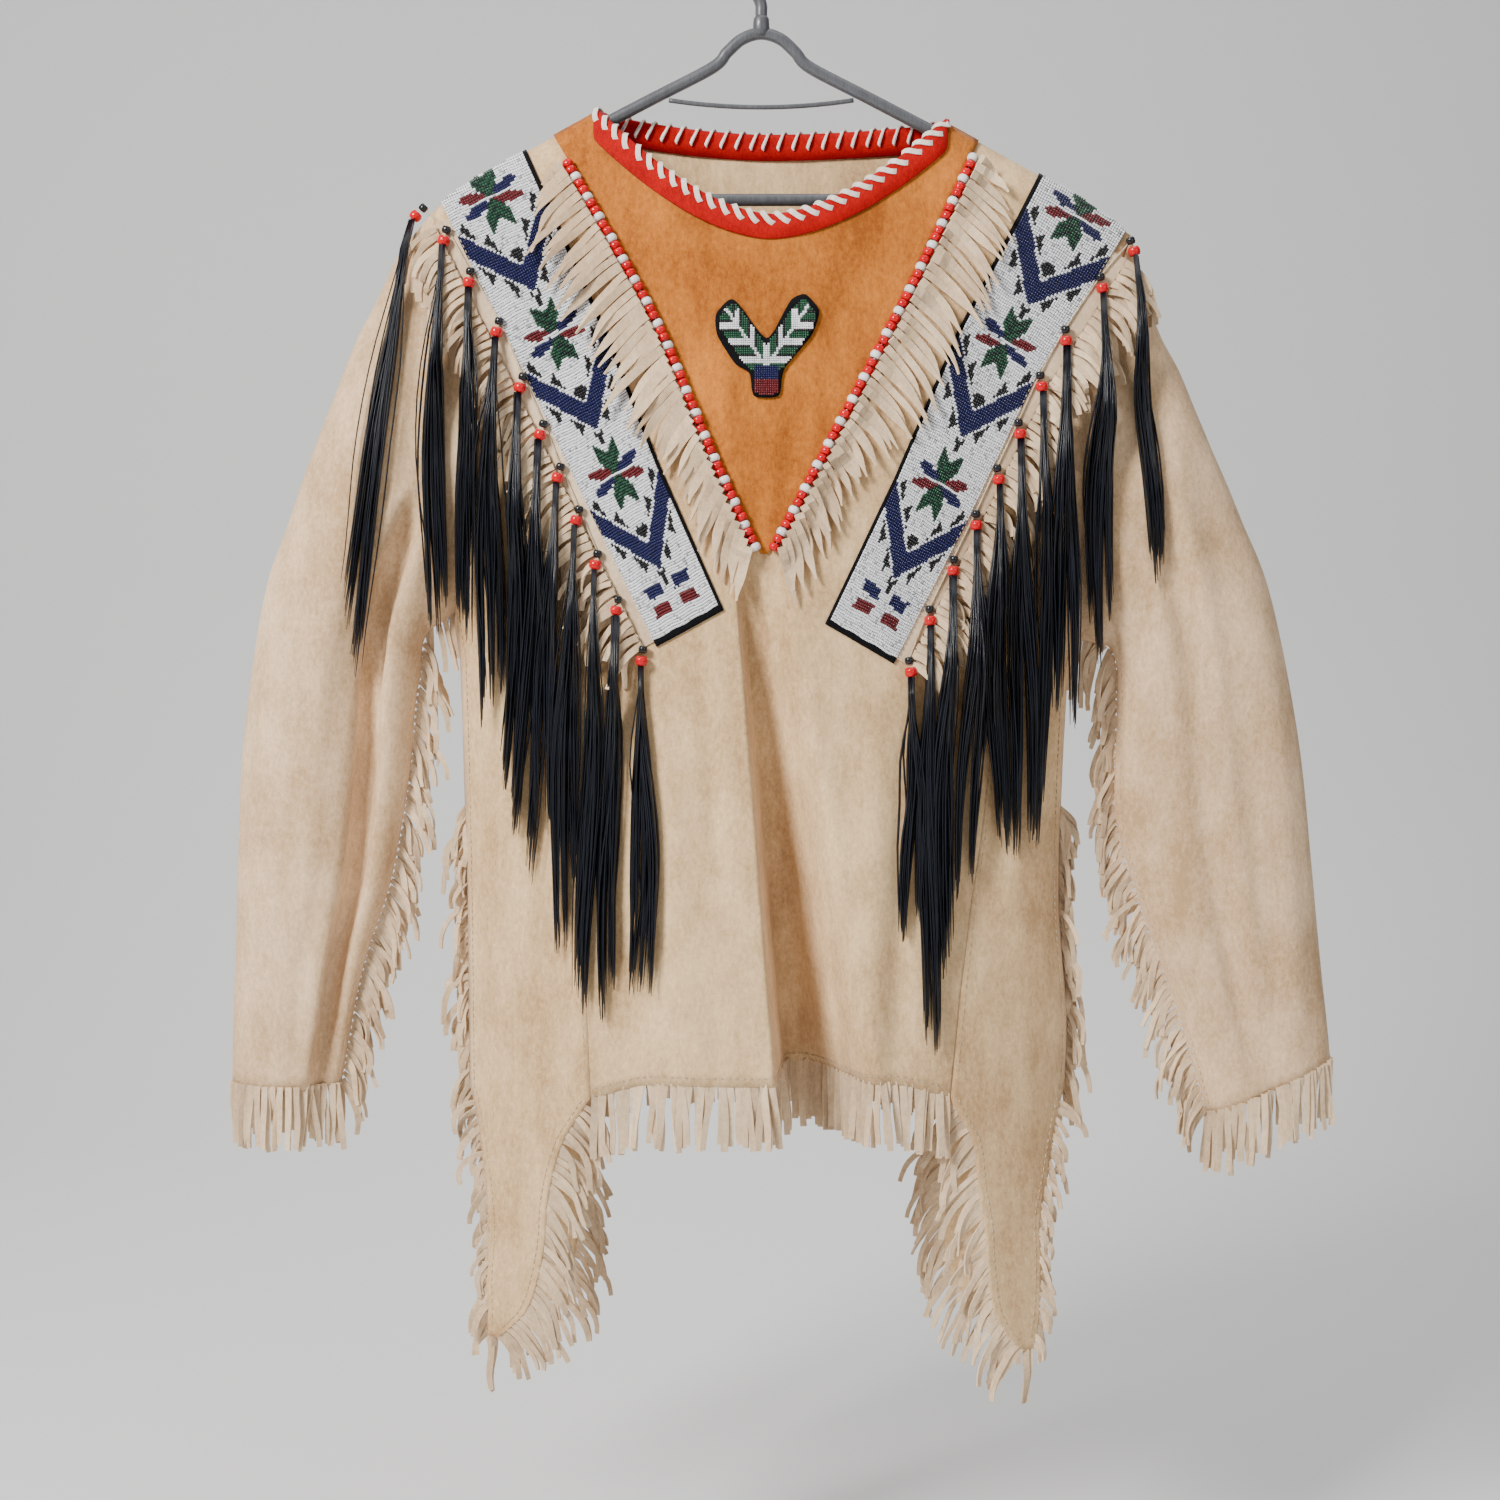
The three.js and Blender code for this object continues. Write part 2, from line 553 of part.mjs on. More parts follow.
/** Height of the panel's upper edge: the shoulder fold, or the neck hole between its ends. */
function upperEdge(face, x) {
  const side = sideOf(x);
  const half = Math.abs(side.sign * side.neck - NECK_MID);
  const out = Math.abs(x - NECK_MID) / half;
  if (out >= 1) return ridge(x);
  const low = face === 'front' ? FRONT_NECK : BACK_NECK;
  return lerp(low, ridge(side.sign * side.neck), out ** 1.7);
}

/** Height of the hem, which drops a little at the side seams. */
const hemAt = (x) => HEM.z - HEM.cornerDrop * smoothstep(Math.abs(x - NECK_MID), HEM.flatHalf, HEM.half);

/** Rows of [x, z] over a panel: even down each column, finer near the shoulder fold. */
function panelGrid(face) {
  const columnsAt = face === 'front' ? frontColumns : backColumns;
  const count = columnsAt(-500).length;
  const rowHeights = Array.from({ length: count }, (_, c) => {
    let top = -180;
    for (let i = 0; i < 12; i += 1) top = upperEdge(face, columnsAt(top)[c]);
    const level = lerp(LEFT.seamTop, RIGHT.seamTop, c / (count - 1));
    let hem = HEM.z;
    for (let i = 0; i < 4; i += 1) hem = hemAt(columnsAt(hem)[c]);
    return [
      ...steps(UPPER_ROWS).map((t) => lerp(top, level, t ** 1.9)),
      ...steps(LOWER_ROWS).slice(1).map((t) => lerp(level, hem, t)),
    ];
  });
  return Array.from({ length: UPPER_ROWS + LOWER_ROWS + 1 }, (_, r) => (
    rowHeights.map((heights, c) => [columnsAt(heights[r])[c], heights[r]])
  ));
}

const grids = { front: panelGrid('front'), back: panelGrid('back') };

const layer = (face, grid, out) => grid.map((row) => row.map(([x, z]) => onBody(face, x, z, out)));
const bodyWall = (face, grid, outer, inner) => wall(layer(face, grid, outer), layer(face, grid, inner));

['front', 'back'].forEach((face) => {
  add(`${face}_panel`, bodyWall(face, grids[face], 0, -HIDE), 'hide');
});

// ---------------------------------------------------------------- side pieces with leg tabs

const SIDE_ROWS = [0.08, 0.4, 0.72, 0.91, 1];  // shares from the seam's top to the armpit
const SIDE_SEAM_ROWS = 5;
const SIDE_ACROSS = [0, 0.36, 0.72, 1];
const SIDE_END = -859;

/** x of the panel's own seam edge at height z, so that both pieces keep the same straight runs. */
function seamEdge(face, side, z) {
  const column = side === LEFT ? 0 : grids[face][0].length - 1;
  const edge = grids[face].map((row) => row[column]);
  const i = clamp(edge.findIndex((point) => point[1] < z), 1, edge.length - 1);
  const t = (z - edge[i - 1][1]) / (edge[i][1] - edge[i - 1][1]);
  return Math.abs(lerp(edge[i - 1][0], edge[i][0], Math.min(t, 1)));
}

/** Rows of [x, z] over a side piece: from under the armhole to the tab's tip. */
function sideGrid(face, side) {
  const heights = [
    ...SIDE_ROWS.map((t) => lerp(side.seamTop, side.armpitZ, t)),
    ...steps(SIDE_SEAM_ROWS).slice(1).map((t) => lerp(side.armpitZ, SIDE_END, t)),
  ];
  const rows = heights.map((z) => ({
    z, inner: seamEdge(face, side, z) + SEAM, outer: readTable(side.edge, 'x', z),
  }));
  rows.push(...(face === 'front' ? side.tab : BACK_TAB));
  return rows.map(({ z, inner, outer }) => (
    SIDE_ACROSS.map((t) => [side.sign * lerp(inner, outer, t), z])
  ));
}

const sideGrids = {};
[LEFT, RIGHT].forEach((side) => {
  ['front', 'back'].forEach((face) => {
    const name = `side_${face}_${side.name}`;
    sideGrids[name] = sideGrid(face, side);
    add(name, bodyWall(face, sideGrids[name], 0, -HIDE), 'hide');
  });
});

// ---------------------------------------------------------------- sleeves

/** The armhole's edge points on one face, from the shoulder to the armpit. */
function armholeEdge(face, side) {
  const column = side === LEFT ? 0 : grids[face][0].length - 1;
  const upper = grids[face].slice(0, UPPER_ROWS).map((row) => row[column]);
  const lower = sideGrids[`side_${face}_${side.name}`].slice(0, SIDE_ROWS.length);
  return [...upper, ...lower.map((row) => row.at(-1))].map(([x, z]) => ({ face, x, z }));
}

/** Rings of a sleeve's outer surface: the armhole first, then each section of the table. */
function sleeveRings(side, around) {
  const armhole = around.map(({ face, x, z }) => {
    const point = onBody(face, x, z);
    point.x += side.sign * SEAM;
    return point;
  });
  const sections = SLEEVES[side.name].map((section, k) => around.map(({ face, z }, c) => {
    const share = clamp((side.shoulderZ - z) / (side.shoulderZ - side.armpitZ), 0, 1);
    const facing = face === 'front' ? -1 : 1;
    const oval = facing * (SEAM / 2 + section.depth * 2 * Math.sqrt(share * (1 - share)));
    const crease = section.fold * Math.exp(-(((share - section.at) / 0.11) ** 2));
    const depth = lerp(armhole[c].y, oval, Math.min(1, (k + 1) / 3));
    return new THREE.Vector3(
      lerp(section.ox, section.ix, share) + section.bow * 4 * share * (1 - share),
      depth + (face === 'front' ? crease : 0),
      lerp(section.oz, section.iz, share),
    );
  }));
  return [armhole, ...sections];
}

/** Rings moved inwards along their surface's normals; the armhole's follow the body. */
function insideOf(side, rings, around) {
  const count = rings[0].length;
  return rings.map((ring, r) => ring.map((point, c) => {
    if (r === 0) {
      const { face, x, z } = around[c];
      return point.clone().add(onBody(face, x, z, -HIDE)).sub(onBody(face, x, z));
    }
    const along = rings[Math.min(r + 1, rings.length - 1)][c].clone().sub(rings[r - 1][c]);
    const across = ring[(c + 1) % count].clone().sub(ring[(c + count - 1) % count]);
    const normal = along.cross(across).normalize();
    return point.clone().addScaledVector(normal, HIDE * side.sign);
  }));
}

const sleeveShapes = {};
[LEFT, RIGHT].forEach((side) => {
  const around = [...armholeEdge('front', side), ...armholeEdge('back', side).reverse()];
  const rings = sleeveRings(side, around);
  const inner = insideOf(side, rings, around);
  sleeveShapes[side.name] = { rings, inner };
  add(`sleeve_${side.name}`, wall(rings, inner, true), 'hide');
});

// ---------------------------------------------------------------- hanger

function hangerFrame() {
  const half = [
    [0, ARM.archTop], [14, ARM.archTop - 4], [25, ARM.archTop - 13.5],
    ...[ARM.archHalf, 80, 130, 184].map((x) => [x, ARM.height - ARM.slope * x]),
    [ARM.end - 5, ARM.bar + 12.5], [ARM.end, ARM.bar + 7], [ARM.end - 6, ARM.bar + 1.2],
    [ARM.end - 18, ARM.bar],
  ];
  const mirrored = half.slice(1).map(([x, z]) => [-x, z]).reverse();
  const loop = [...half, [0, ARM.bar], ...mirrored].map(([x, z]) => new THREE.Vector3(x, 0, z));
  return loft(roundRings(loop, HANGER_TUBE, 6, true), true);
}

function hangerHook() {
  const stem = [[0, ARM.archTop + HANGER_TUBE + 0.3], [0, -66], [-4, -57], [-11, -51.5]];
  const angles = steps(12).map((t) => THREE.MathUtils.degToRad(lerp(HOOK.from, HOOK.to, t)));
  const bend = angles.map((a) => [HOOK.radius * Math.cos(a), HOOK.z + HOOK.radius * Math.sin(a)]);
  const path = [...stem, ...bend].map(([x, z]) => new THREE.Vector3(x, 0, z));
  return loft(roundRings(path, HANGER_TUBE, 6));
}

function crossRod() {
  const path = steps(6).map((t) => {
    const x = lerp(-ROD_REACH, ROD_REACH, t);
    return new THREE.Vector3(x, 0, -139 + 5 * (x / ROD_REACH) ** 2);
  });
  return loft(roundRings(path, ROD, 6));
}

add('hanger_frame', hangerFrame(), 'tube');
add('hanger_hook', hangerHook(), 'tube');
add('hanger_cross_rod', crossRod(), 'tube');

// ---------------------------------------------------------------- what is sewn on the panels

/** A line of [x, z] points as x at any height, straight on past both ends. */
function lineThrough(points) {
  return (z) => {
    const found = points.findIndex((point, k) => k > 0 && point[1] < z);
    const i = found < 0 ? points.length - 1 : found;
    const t = (z - points[i - 1][1]) / (points[i][1] - points[i - 1][1]);
    return lerp(points[i - 1][0], points[i][0], t);
  };
}

const movedOut = {};

/** The panel's own points moved out by a distance, worked out once for each distance. */
function panelLayer(face, out) {
  const key = `${face} ${out.toFixed(3)}`;
  movedOut[key] ??= layer(face, grids[face], out);
  return movedOut[key];
}

/** The point where a line x = lineX(z) crosses a row of the moved-out panel, or a share between
 *  two rows. It lies on the panel's own facets, so that the piece on top keeps clear of them. */
function onPanel(face, row, lineX, out) {
  const points = panelLayer(face, out);
  const low = Math.min(Math.floor(row), points.length - 2);
  const level = points[low].map((point, c) => point.clone().lerp(points[low + 1][c], row - low));
  const gaps = level.map((point) => point.x - lineX(point.z));
  const found = gaps.findIndex((gap) => gap > 0);
  const c = found < 0 ? level.length - 1 : Math.max(found, 1);
  const t = clamp(gaps[c - 1] / (gaps[c - 1] - gaps[c]), 0, 1);
  return level[c - 1].clone().lerp(level[c], t);
}

/** The share of rows at which a line reaches height z on a face. */
function rowAt(face, lineX, z) {
  let [low, high] = [0, grids[face].length - 1];
  for (let i = 0; i < 24; i += 1) {
    const middle = (low + high) / 2;
    if (onPanel(face, middle, lineX, 0).z > z) low = middle;
    else high = middle;
  }
  return (low + high) / 2;
}

/** A sheet over lines that run down a face, each with its own bottom height: its two end rows,
 *  and between them the panel's own rows. */
function sheetRows(face, lines, bottoms, from, out) {
  const first = lines.map((line) => (from === null ? 0 : rowAt(face, line, from)));
  const last = lines.map((line, k) => rowAt(face, line, bottoms[k]));
  const inside = grids[face].map((_, row) => row)
    .filter((row) => row > Math.max(...first) + 0.35 && row < Math.min(...last) - 0.3);
  return [first, ...inside.map((row) => lines.map(() => row)), last].map((rows) => (
    rows.map((row, k) => onPanel(face, row, lines[k], out))
  ));
}

const FACETS = [[[0, 0], [1, 0], [1, 1]], [[0, 0], [1, 1], [0, 1]]];  // two facets of a grid cell

/** The triangles of a grid of points, each with its three grid places. */
function facetsOf(grid) {
  const places = steps(grid.length - 2).flatMap((t) => {
    const r = Math.round(t * (grid.length - 2));
    return grid[0].slice(1).flatMap((_, c) => FACETS.map((facet) => facet.map(([i, j]) => [r + i, c + j])));
  });
  return places.map((corners) => ({ corners, points: corners.map(([r, c]) => grid[r][c]) }));
}

const panelFacets = Object.fromEntries(['front', 'back'].map((face) => (
  [face, facetsOf(layer(face, grids[face], 0)).map(({ points: [a, b, c] }) => ({
    a, b, c, area: (b.x - a.x) * (c.z - a.z) - (c.x - a.x) * (b.z - a.z),
  }))]
)));

/** y of the panel's outer facets at (x, z), or null beside the panel. */
function facetHeight(face, x, z) {
  const inside = panelFacets[face].map(({ a, b, c, area }) => {
    const u = ((x - a.x) * (c.z - a.z) - (c.x - a.x) * (z - a.z)) / area;
    const v = ((b.x - a.x) * (z - a.z) - (x - a.x) * (b.z - a.z)) / area;
    return u < 0 || v < 0 || u + v > 1 ? null : a.y + u * (b.y - a.y) + v * (c.y - a.y);
  }).filter((y) => y !== null);
  return inside.length ? inside[0] : null;
}

/** How far each point of a sheet must still rise for its facets to clear the panel by a gap. */
function shortfall(face, grid, gap) {
  const facing = face === 'front' ? -1 : 1;
  const rise = grid.map((row) => row.map(() => 0));
  const parts = 5;
  facetsOf(grid).forEach(({ corners, points: [a, b, c] }) => {
    for (let i = 0; i <= parts; i += 1) {
      for (let j = 0; i + j <= parts; j += 1) {
        const p = a.clone().multiplyScalar(i / parts).addScaledVector(b, j / parts)
          .addScaledVector(c, 1 - (i + j) / parts);
        const y = facetHeight(face, p.x, p.z);
        if (y === null) continue;
        const normal = onBody(face, p.x, p.z, 1).sub(onBody(face, p.x, p.z));
        const need = gap - facing * (p.y - y) * Math.abs(normal.y);
        corners.forEach(([r, k]) => { rise[r][k] = Math.max(rise[r][k], need); });
      }
    }
  });
  return rise;
}

/** A sheet between two grids on a face, raised where needed so that it clears the panel. */
function settled(face, low, high, gap) {
  const normals = low.map((row, r) => row.map((point, c) => high[r][c].clone().sub(point).normalize()));
  for (let pass = 0; pass < 3; pass += 1) {
    shortfall(face, low, gap).forEach((row, r) => row.forEach((rise, c) => {
      [low, high].forEach((grid) => grid[r][c].addScaledVector(normals[r][c], rise));
    }));
  }
  return { low, high };
}

/** A band on the faces named: from the shoulder fold down, and over it where both are named. */
function bandOn(faces, lines, bottoms, low, high, from = null) {
  const sheets = faces.map((face) => {
    const rows = (out) => sheetRows(face, lines, bottoms, from, out);
    return settled(face, rows(low), rows(high), low - 0.05);
  });
  const joined = (side) => [
    ...sheets[0][side].slice().reverse(),
    ...(sheets.length > 1 ? sheets[1][side] : []),
  ];
  return wall(joined('high'), joined('low'));
}

/** An [x, z] line moved sideways; a positive distance moves a downward line to the right. */
function parallel(line, distance) {
  return line.map(([x, z], i) => {
    const [x0, z0] = line[Math.max(i - 1, 0)];
    const [x1, z1] = line[Math.min(i + 1, line.length - 1)];
    const length = Math.hypot(x1 - x0, z1 - z0);
    return [x - (distance * (z1 - z0)) / length, z + (distance * (x1 - x0)) / length];
  });
}

/** The bib: from just under the neck hole's edge down to its tip, between the bead strands. */
function bib() {
  const left = lineThrough(BEAD_LINES.left);
  const right = lineThrough(BEAD_LINES.right);
  const lines = BIB.across.map((q) => (z) => lerp(left(z), Math.max(right(z), left(z) + 1), q));
  const rows = (out) => [
    ...BIB.rows.map((row) => lines.map((line) => onPanel('front', row, line, out))),
    lines.map((_, k) => onPanel('front', rowAt('front', left, BIB.tipZ), (
      () => lerp(-BIB.tipHalf, BIB.tipHalf, BIB.across[k]) + BIB.tipX), out)),
  ];
  const { low, high } = settled('front', rows(LIFT), rows(LIFT + BIB.thickness), LIFT - 0.05);
  return wall(high, low);
}
add('bib', bib(), 'bibHide');

[LEFT, RIGHT].forEach((side) => {
  const { inner, outer } = STRIPS[side.name];
  const across = steps(3);
  const lines = across.map((q) => (z) => lerp(lineThrough(inner)(z), lineThrough(outer)(z), q));
  const bottoms = across.map((q) => lerp(inner.at(-1)[1], outer.at(-1)[1], q));
  const strip = bandOn(['front', 'back'], lines, bottoms, LIFT, LIFT + BEADWORK);
  add(`beaded_strip_${side.name}`, strip, 'seedBeads');
});

// ---------------------------------------------------------------- neck binding

const NECK_EXTRA = 3;        // runs of the neck's edge, from each end, that get a station halfway

/** The edge of the neck hole on one face, with extra stations close to the shoulder fold. */
function neckEdge(face) {
  const row = grids[face][0].slice(SIDE_COLUMNS, -SIDE_COLUMNS);
  const stations = row.map(([x, z]) => ({ face, x, z, point: onBody(face, x, z) }));
  const halfway = (a, b) => ({
    face, x: (a.x + b.x) / 2, z: (a.z + b.z) / 2, point: a.point.clone().lerp(b.point, 0.5),
  });
  return stations.flatMap((station, i) => {
    const near = i < NECK_EXTRA || i >= stations.length - 1 - NECK_EXTRA;
    return near && i < stations.length - 1 ? [station, halfway(station, stations[i + 1])] : [station];
  });
}

/** A U-shaped section carried round the edge of the neck hole. */
function neckBinding() {
  const stations = [...neckEdge('front'), ...neckEdge('back').reverse()];
  const { width, endWidth, innerEnd, thickness, endThickness, gap, lift } = BINDING;
  const outer = LIFT + BIB.thickness + lift;
  const count = stations.length;
  const rings = stations.map(({ face, x, z, point }, i) => {
    const normal = onBody(face, x, z, 1).sub(onBody(face, x, z));
    const along = stations[(i + 1) % count].point.clone().sub(stations[(i + count - 1) % count].point);
    const away = normal.clone().cross(along).normalize();
    if (away.dot(new THREE.Vector3(x - NECK_MID, 0, z + 110)) < 0) away.negate();
    const out = Math.abs(x - NECK_MID) / 127;
    const narrowing = smoothstep(out, 0.6, 0.95);
    const leg = lerp(width, endWidth, narrowing);
    const innerLeg = lerp(width, innerEnd, narrowing);
    const inmost = -HIDE - gap - lerp(thickness, endThickness, narrowing);
    const at = (down, level) => {
      const [px, pz] = [x + away.x * down, z + away.z * down];
      const y = down > 0 ? facetHeight(face, px, pz) : null;
      if (y === null) return point.clone().addScaledVector(away, down).addScaledVector(normal, level);
      const lifted = onBody(face, px, pz, level).sub(onBody(face, px, pz));
      return new THREE.Vector3(px, y, pz).add(lifted);
    };
    return [
      at(leg, outer + thickness), at(-gap - thickness, outer + thickness),
      at(-gap - thickness, inmost), at(innerLeg, inmost),
      at(innerLeg, -HIDE - gap), at(-gap, -HIDE - gap), at(-gap, outer), at(leg, outer),
    ];
  });
  return loft(rings, true);
}
add('neck_binding', neckBinding(), 'redFelt');

// ---------------------------------------------------------------- fringe on the panels

/** Points at even shares along a line of [x, z]. */
function alongLine(line, count, from = 0.04, to = 0.97) {
  const curve = new THREE.CatmullRomCurve3(line.map(([x, z]) => new THREE.Vector3(x, 0, z)));
  return steps(count - 1).map((t) => curve.getPointAt(lerp(from, to, t))).map((p) => [p.x, p.z]);
}

/** Points at even shares along a line of points with straight runs. */
function pointsAlong(line, count, from = 0.04, to = 0.97) {
  const path = new THREE.CurvePath();
  line.slice(1).forEach((point, i) => path.add(new THREE.LineCurve3(line[i], point)));
  return steps(count - 1).map((t) => path.getPointAt(lerp(from, to, t)));
}

/** Strands that lie on a face: each leaves its root sideways, then bends down. */
function laidStrands(face, roots, rootOut) {
  const relief = reliefs[face];
  return roots.map(({ x, z, lean, length, width }) => {
    const path = [0.2, 1].map((t) => [
      x + lean * length * t, z - length * t * Math.sqrt(1 - (lean * (1 - 0.4 * t)) ** 2),
    ]);
    const root = onBody(face, x, z, rootOut);
    const laid = relief.drape(path, STRAND_CLEARANCE, 3, root.y * relief.facing);
    return strand([root, ...laid], [width, width, width * 0.7], [0.5, 1.6, 1.2], relief.facing);
  });
}

// A hide band with fringe along each strip's outer edge, front and back.
[LEFT, RIGHT].forEach((side) => {
  const { outer } = STRIPS[side.name];
  const edges = [SEAM, SEAM + EDGE_BAND].map((out) => parallel(outer, side.sign * out));
  const lines = edges.map(lineThrough);
  const bottoms = edges.map((edge) => edge.at(-1)[1]);
  ['front', 'back'].forEach((face) => {
    const band = bandOn([face], lines, bottoms, LIFT, LIFT + BAND, BAND_TOP[side.name]);
    const rootLine = parallel(outer, side.sign * (EDGE_BAND - 2));
    const roots = alongLine(rootLine, STRANDS.strip[face], 0.12).map(([x, z]) => ({
      x, z, lean: side.sign * 0.05, length: 62, width: 3,
    }));
    add(`strip_fringe_${face}_${side.name}`, fuse([band, ...laidStrands(face, roots, LIFT + 0.5)]), 'hide');
  });
});

// A fringe band outside the bib's edge, and the strand of large beads that covers its root.
[LEFT, RIGHT].forEach((side) => {
  const beads = BEAD_LINES[side.name];
  const edges = [2.2, 2.2 + V_BAND].map((out) => parallel(beads, side.sign * out));
  const bottoms = edges.map((edge) => edge.at(-1)[1]);
  const top = beads[0][1] - 2;
  const band = bandOn(['front'], edges.map(lineThrough), bottoms, 2 * LIFT, 2 * LIFT + BAND, top);
  const roots = alongLine(parallel(beads, side.sign * (V_BAND - 1.5)), STRANDS.v, 0.04, 0.96)
    .map(([x, z], i) => ({
      x, z, lean: side.sign * lerp(0.62, 0.5, i / STRANDS.v), length: 54, width: 2.6,
    }));
  add(`v_fringe_${side.name}`, fuse([band, ...laidStrands('front', roots, 2 * LIFT + 0.5)]), 'hide');

  const curve = new THREE.CatmullRomCurve3(beads.map(([x, z]) => new THREE.Vector3(x, 0, z)));
  const path = curve.getSpacedPoints(BEAD.count * 2).map((p) => [p.x, p.z]);
  const laid = reliefs.front.drape(path, BEAD.seat, BEAD.radius / 2);
  const radii = path.map((_, i) => (i % 2 ? BEAD.radius : BEAD.neck));
  add(`bead_strand_${side.name}`, loft(roundRings(laid, radii, BEAD.sides)), 'redBeads');
});

// ---------------------------------------------------------------- free fringe

/** A strand that hangs free from a root point. */
function hangingStrand(root, length, driftX, driftY, width = 2.8) {
  const path = [root, new THREE.Vector3(root.x + driftX, root.y + driftY, root.z - length)];
  return strand(path, [width, width * 0.7], [1.8, 1.2], -1);
}

// Hem fringe: a strip just below the hem, in line with the wall, with strands below it.
['front', 'back'].forEach((face) => {
  const hem = grids[face].at(-1);
  const strip = [SEAM, STRIP_HEIGHT].map((drop) => hem.map(([x, z]) => [x, z - drop]));
  const rootLine = hem.map(([x, z]) => onBody(face, x, z - STRIP_HEIGHT / 2, -HIDE / 2));
  const strands = pointsAlong(rootLine, STRANDS.hem[face], 0.025, 0.97).map((root, i) => (
    hangingStrand(root, 40 + 3 * Math.sin(2.4 * i), 3 * Math.sin(1.7 * i), 2 * Math.cos(3.1 * i))
  ));
  add(`hem_fringe_${face}`, fuse([bodyWall(face, strip, 0, -HIDE), ...strands]), 'hide');
});

// Tab fringe: a strip round the inner edge and the tip of each leg tab.
[LEFT, RIGHT].forEach((side) => {
  ['front', 'back'].forEach((face) => {
    const grid = sideGrids[`side_${face}_${side.name}`];
    const tab = grid.filter((row) => row[0][1] < SIDE_END - 1);
    const edge = [...tab.map((row) => row[0]), ...tab.at(-1).slice(1)];
    const strip = [SEAM, STRIP_HEIGHT].map((out) => parallel(edge, -side.sign * out));
    const rootLine = parallel(edge, (-side.sign * STRIP_HEIGHT) / 2)
      .map(([x, z]) => onBody(face, x, z, -HIDE / 2));
    const strands = pointsAlong(rootLine, STRANDS.tab, 0.08, 0.97).map((root, i) => (
      hangingStrand(root, 42, -side.sign * (4 + 2 * Math.sin(2.1 * i)), Math.cos(2.7 * i))
    ));
    const band = bodyWall(face, strip, -0.2, -HIDE + 0.2);
    add(`tab_fringe_${face}_${side.name}`, fuse([band, ...strands]), 'hide');
  });
});

/** A flat strip beside a seam in the XZ plane, with strands that hang from it. */
function seamFringe(line, towards, strandCount, length, drift) {
  const edges = [0.7, STRIP_HEIGHT].map((out) => parallel(line, towards * out));
  const layerAt = (y) => edges.map((edge) => edge.map(([x, z]) => new THREE.Vector3(x, y, z)));
  const strands = alongLine(parallel(line, towards * 3.5), strandCount).map(([x, z], i) => (
    hangingStrand(new THREE.Vector3(x, 0.8, z), length, drift, -3 * Math.cos(1.9 * i), 2.6)
  ));
  return fuse([wall(layerAt(-0.9), layerAt(0.9)), ...strands]);
}

/** A ring below a sleeve's cuff, in line with its wall, with strands below it. */
function cuffFringe({ rings, inner }) {
  const below = (grid, drop) => grid.at(-1).map((p) => new THREE.Vector3(p.x, p.y, p.z - drop));
  const ringOf = (grid) => [below(grid, SEAM), below(grid, STRIP_HEIGHT)];
  const count = rings[0].length;
  const strands = steps(STRANDS.cuff - 1).map((t, i) => {
    const c = Math.round(lerp(1, count - 2, t));
    const root = rings.at(-1)[c].clone().lerp(inner.at(-1)[c], 0.5);
    root.add(new THREE.Vector3(0, 0.8, -STRIP_HEIGHT / 2));
    return hangingStrand(root, 42, 2 * Math.sin(1.3 * i), 0.5);
  });
  return fuse([wall(ringOf(rings), ringOf(inner), true), ...strands]);
}

[LEFT, RIGHT].forEach((side) => {
  const seam = steps(5).map((t) => {
    const z = lerp(-660, -856, t);
    return [side.sign * readTable(side.edge, 'x', z), z];
  });
  const sideFringe = seamFringe(seam, side.sign, STRANDS.side, 46, side.sign * 5);
  add(`side_fringe_${side.name}`, sideFringe, 'hide');

  const underarm = SLEEVES[side.name].map((section) => [section.ix, section.iz]);
  const sleeveFringe = seamFringe(underarm, -side.sign, STRANDS.sleeve, 60, -side.sign * 2);
  add(`sleeve_fringe_${side.name}`, sleeveFringe, 'hide');
  add(`cuff_fringe_${side.name}`, cuffFringe(sleeveShapes[side.name]), 'hide');
});

// ---------------------------------------------------------------- hair tassels

/** A tassel: thong, wrapped stem, red bead and a lock of hair, laid on all that is below it. */
function tassel(face, lace, { x, z, length, drift }) {
  const head = TASSEL_HEAD.slice(1).map(({ drop }) => [x, z - drop]);
  const hair = LOCK.map(({ share }) => [x + drift * share ** 0.7, z - 20 - length * share]);
  const laid = reliefs[face].drape([...head, ...hair], 5.2, 5);
  const radii = [...TASSEL_HEAD, ...LOCK].map(({ radius }) => radius);
  return loft(roundRings([lace, ...laid], radii, 3, false, new THREE.Vector3(1, 0, 0)));
}

[LEFT, RIGHT].forEach((side) => {
  const { outer } = STRIPS[side.name];
  const edges = [2.2, 4.6].map((out) => parallel(outer, side.sign * (SEAM + out)));
  const middle = lineThrough(parallel(outer, side.sign * (SEAM + 3.4)));
  const bottoms = edges.map((edge) => edge.at(-1)[1]);
  const low = LIFT + BAND + LACE_LIFT;
  ['front', 'back'].forEach((face) => {
    const lace = bandOn([face], edges.map(lineThrough), bottoms, low, low + 1.3, LACE_TOP[side.name]);
    const locks = TASSELS[face][side.name].map((at) => {
      const z = clamp(at.z, bottoms[1] + 3, LACE_TOP[side.name] - 3);
      const root = onPanel(face, rowAt(face, middle, z), middle, low + 0.7);
      return tassel(face, root, at);
    });
    add(`hair_tassels_${face}_${side.name}`, fuse([lace, ...locks]), 'hair');
  });
});

// ---------------------------------------------------------------- feather badge

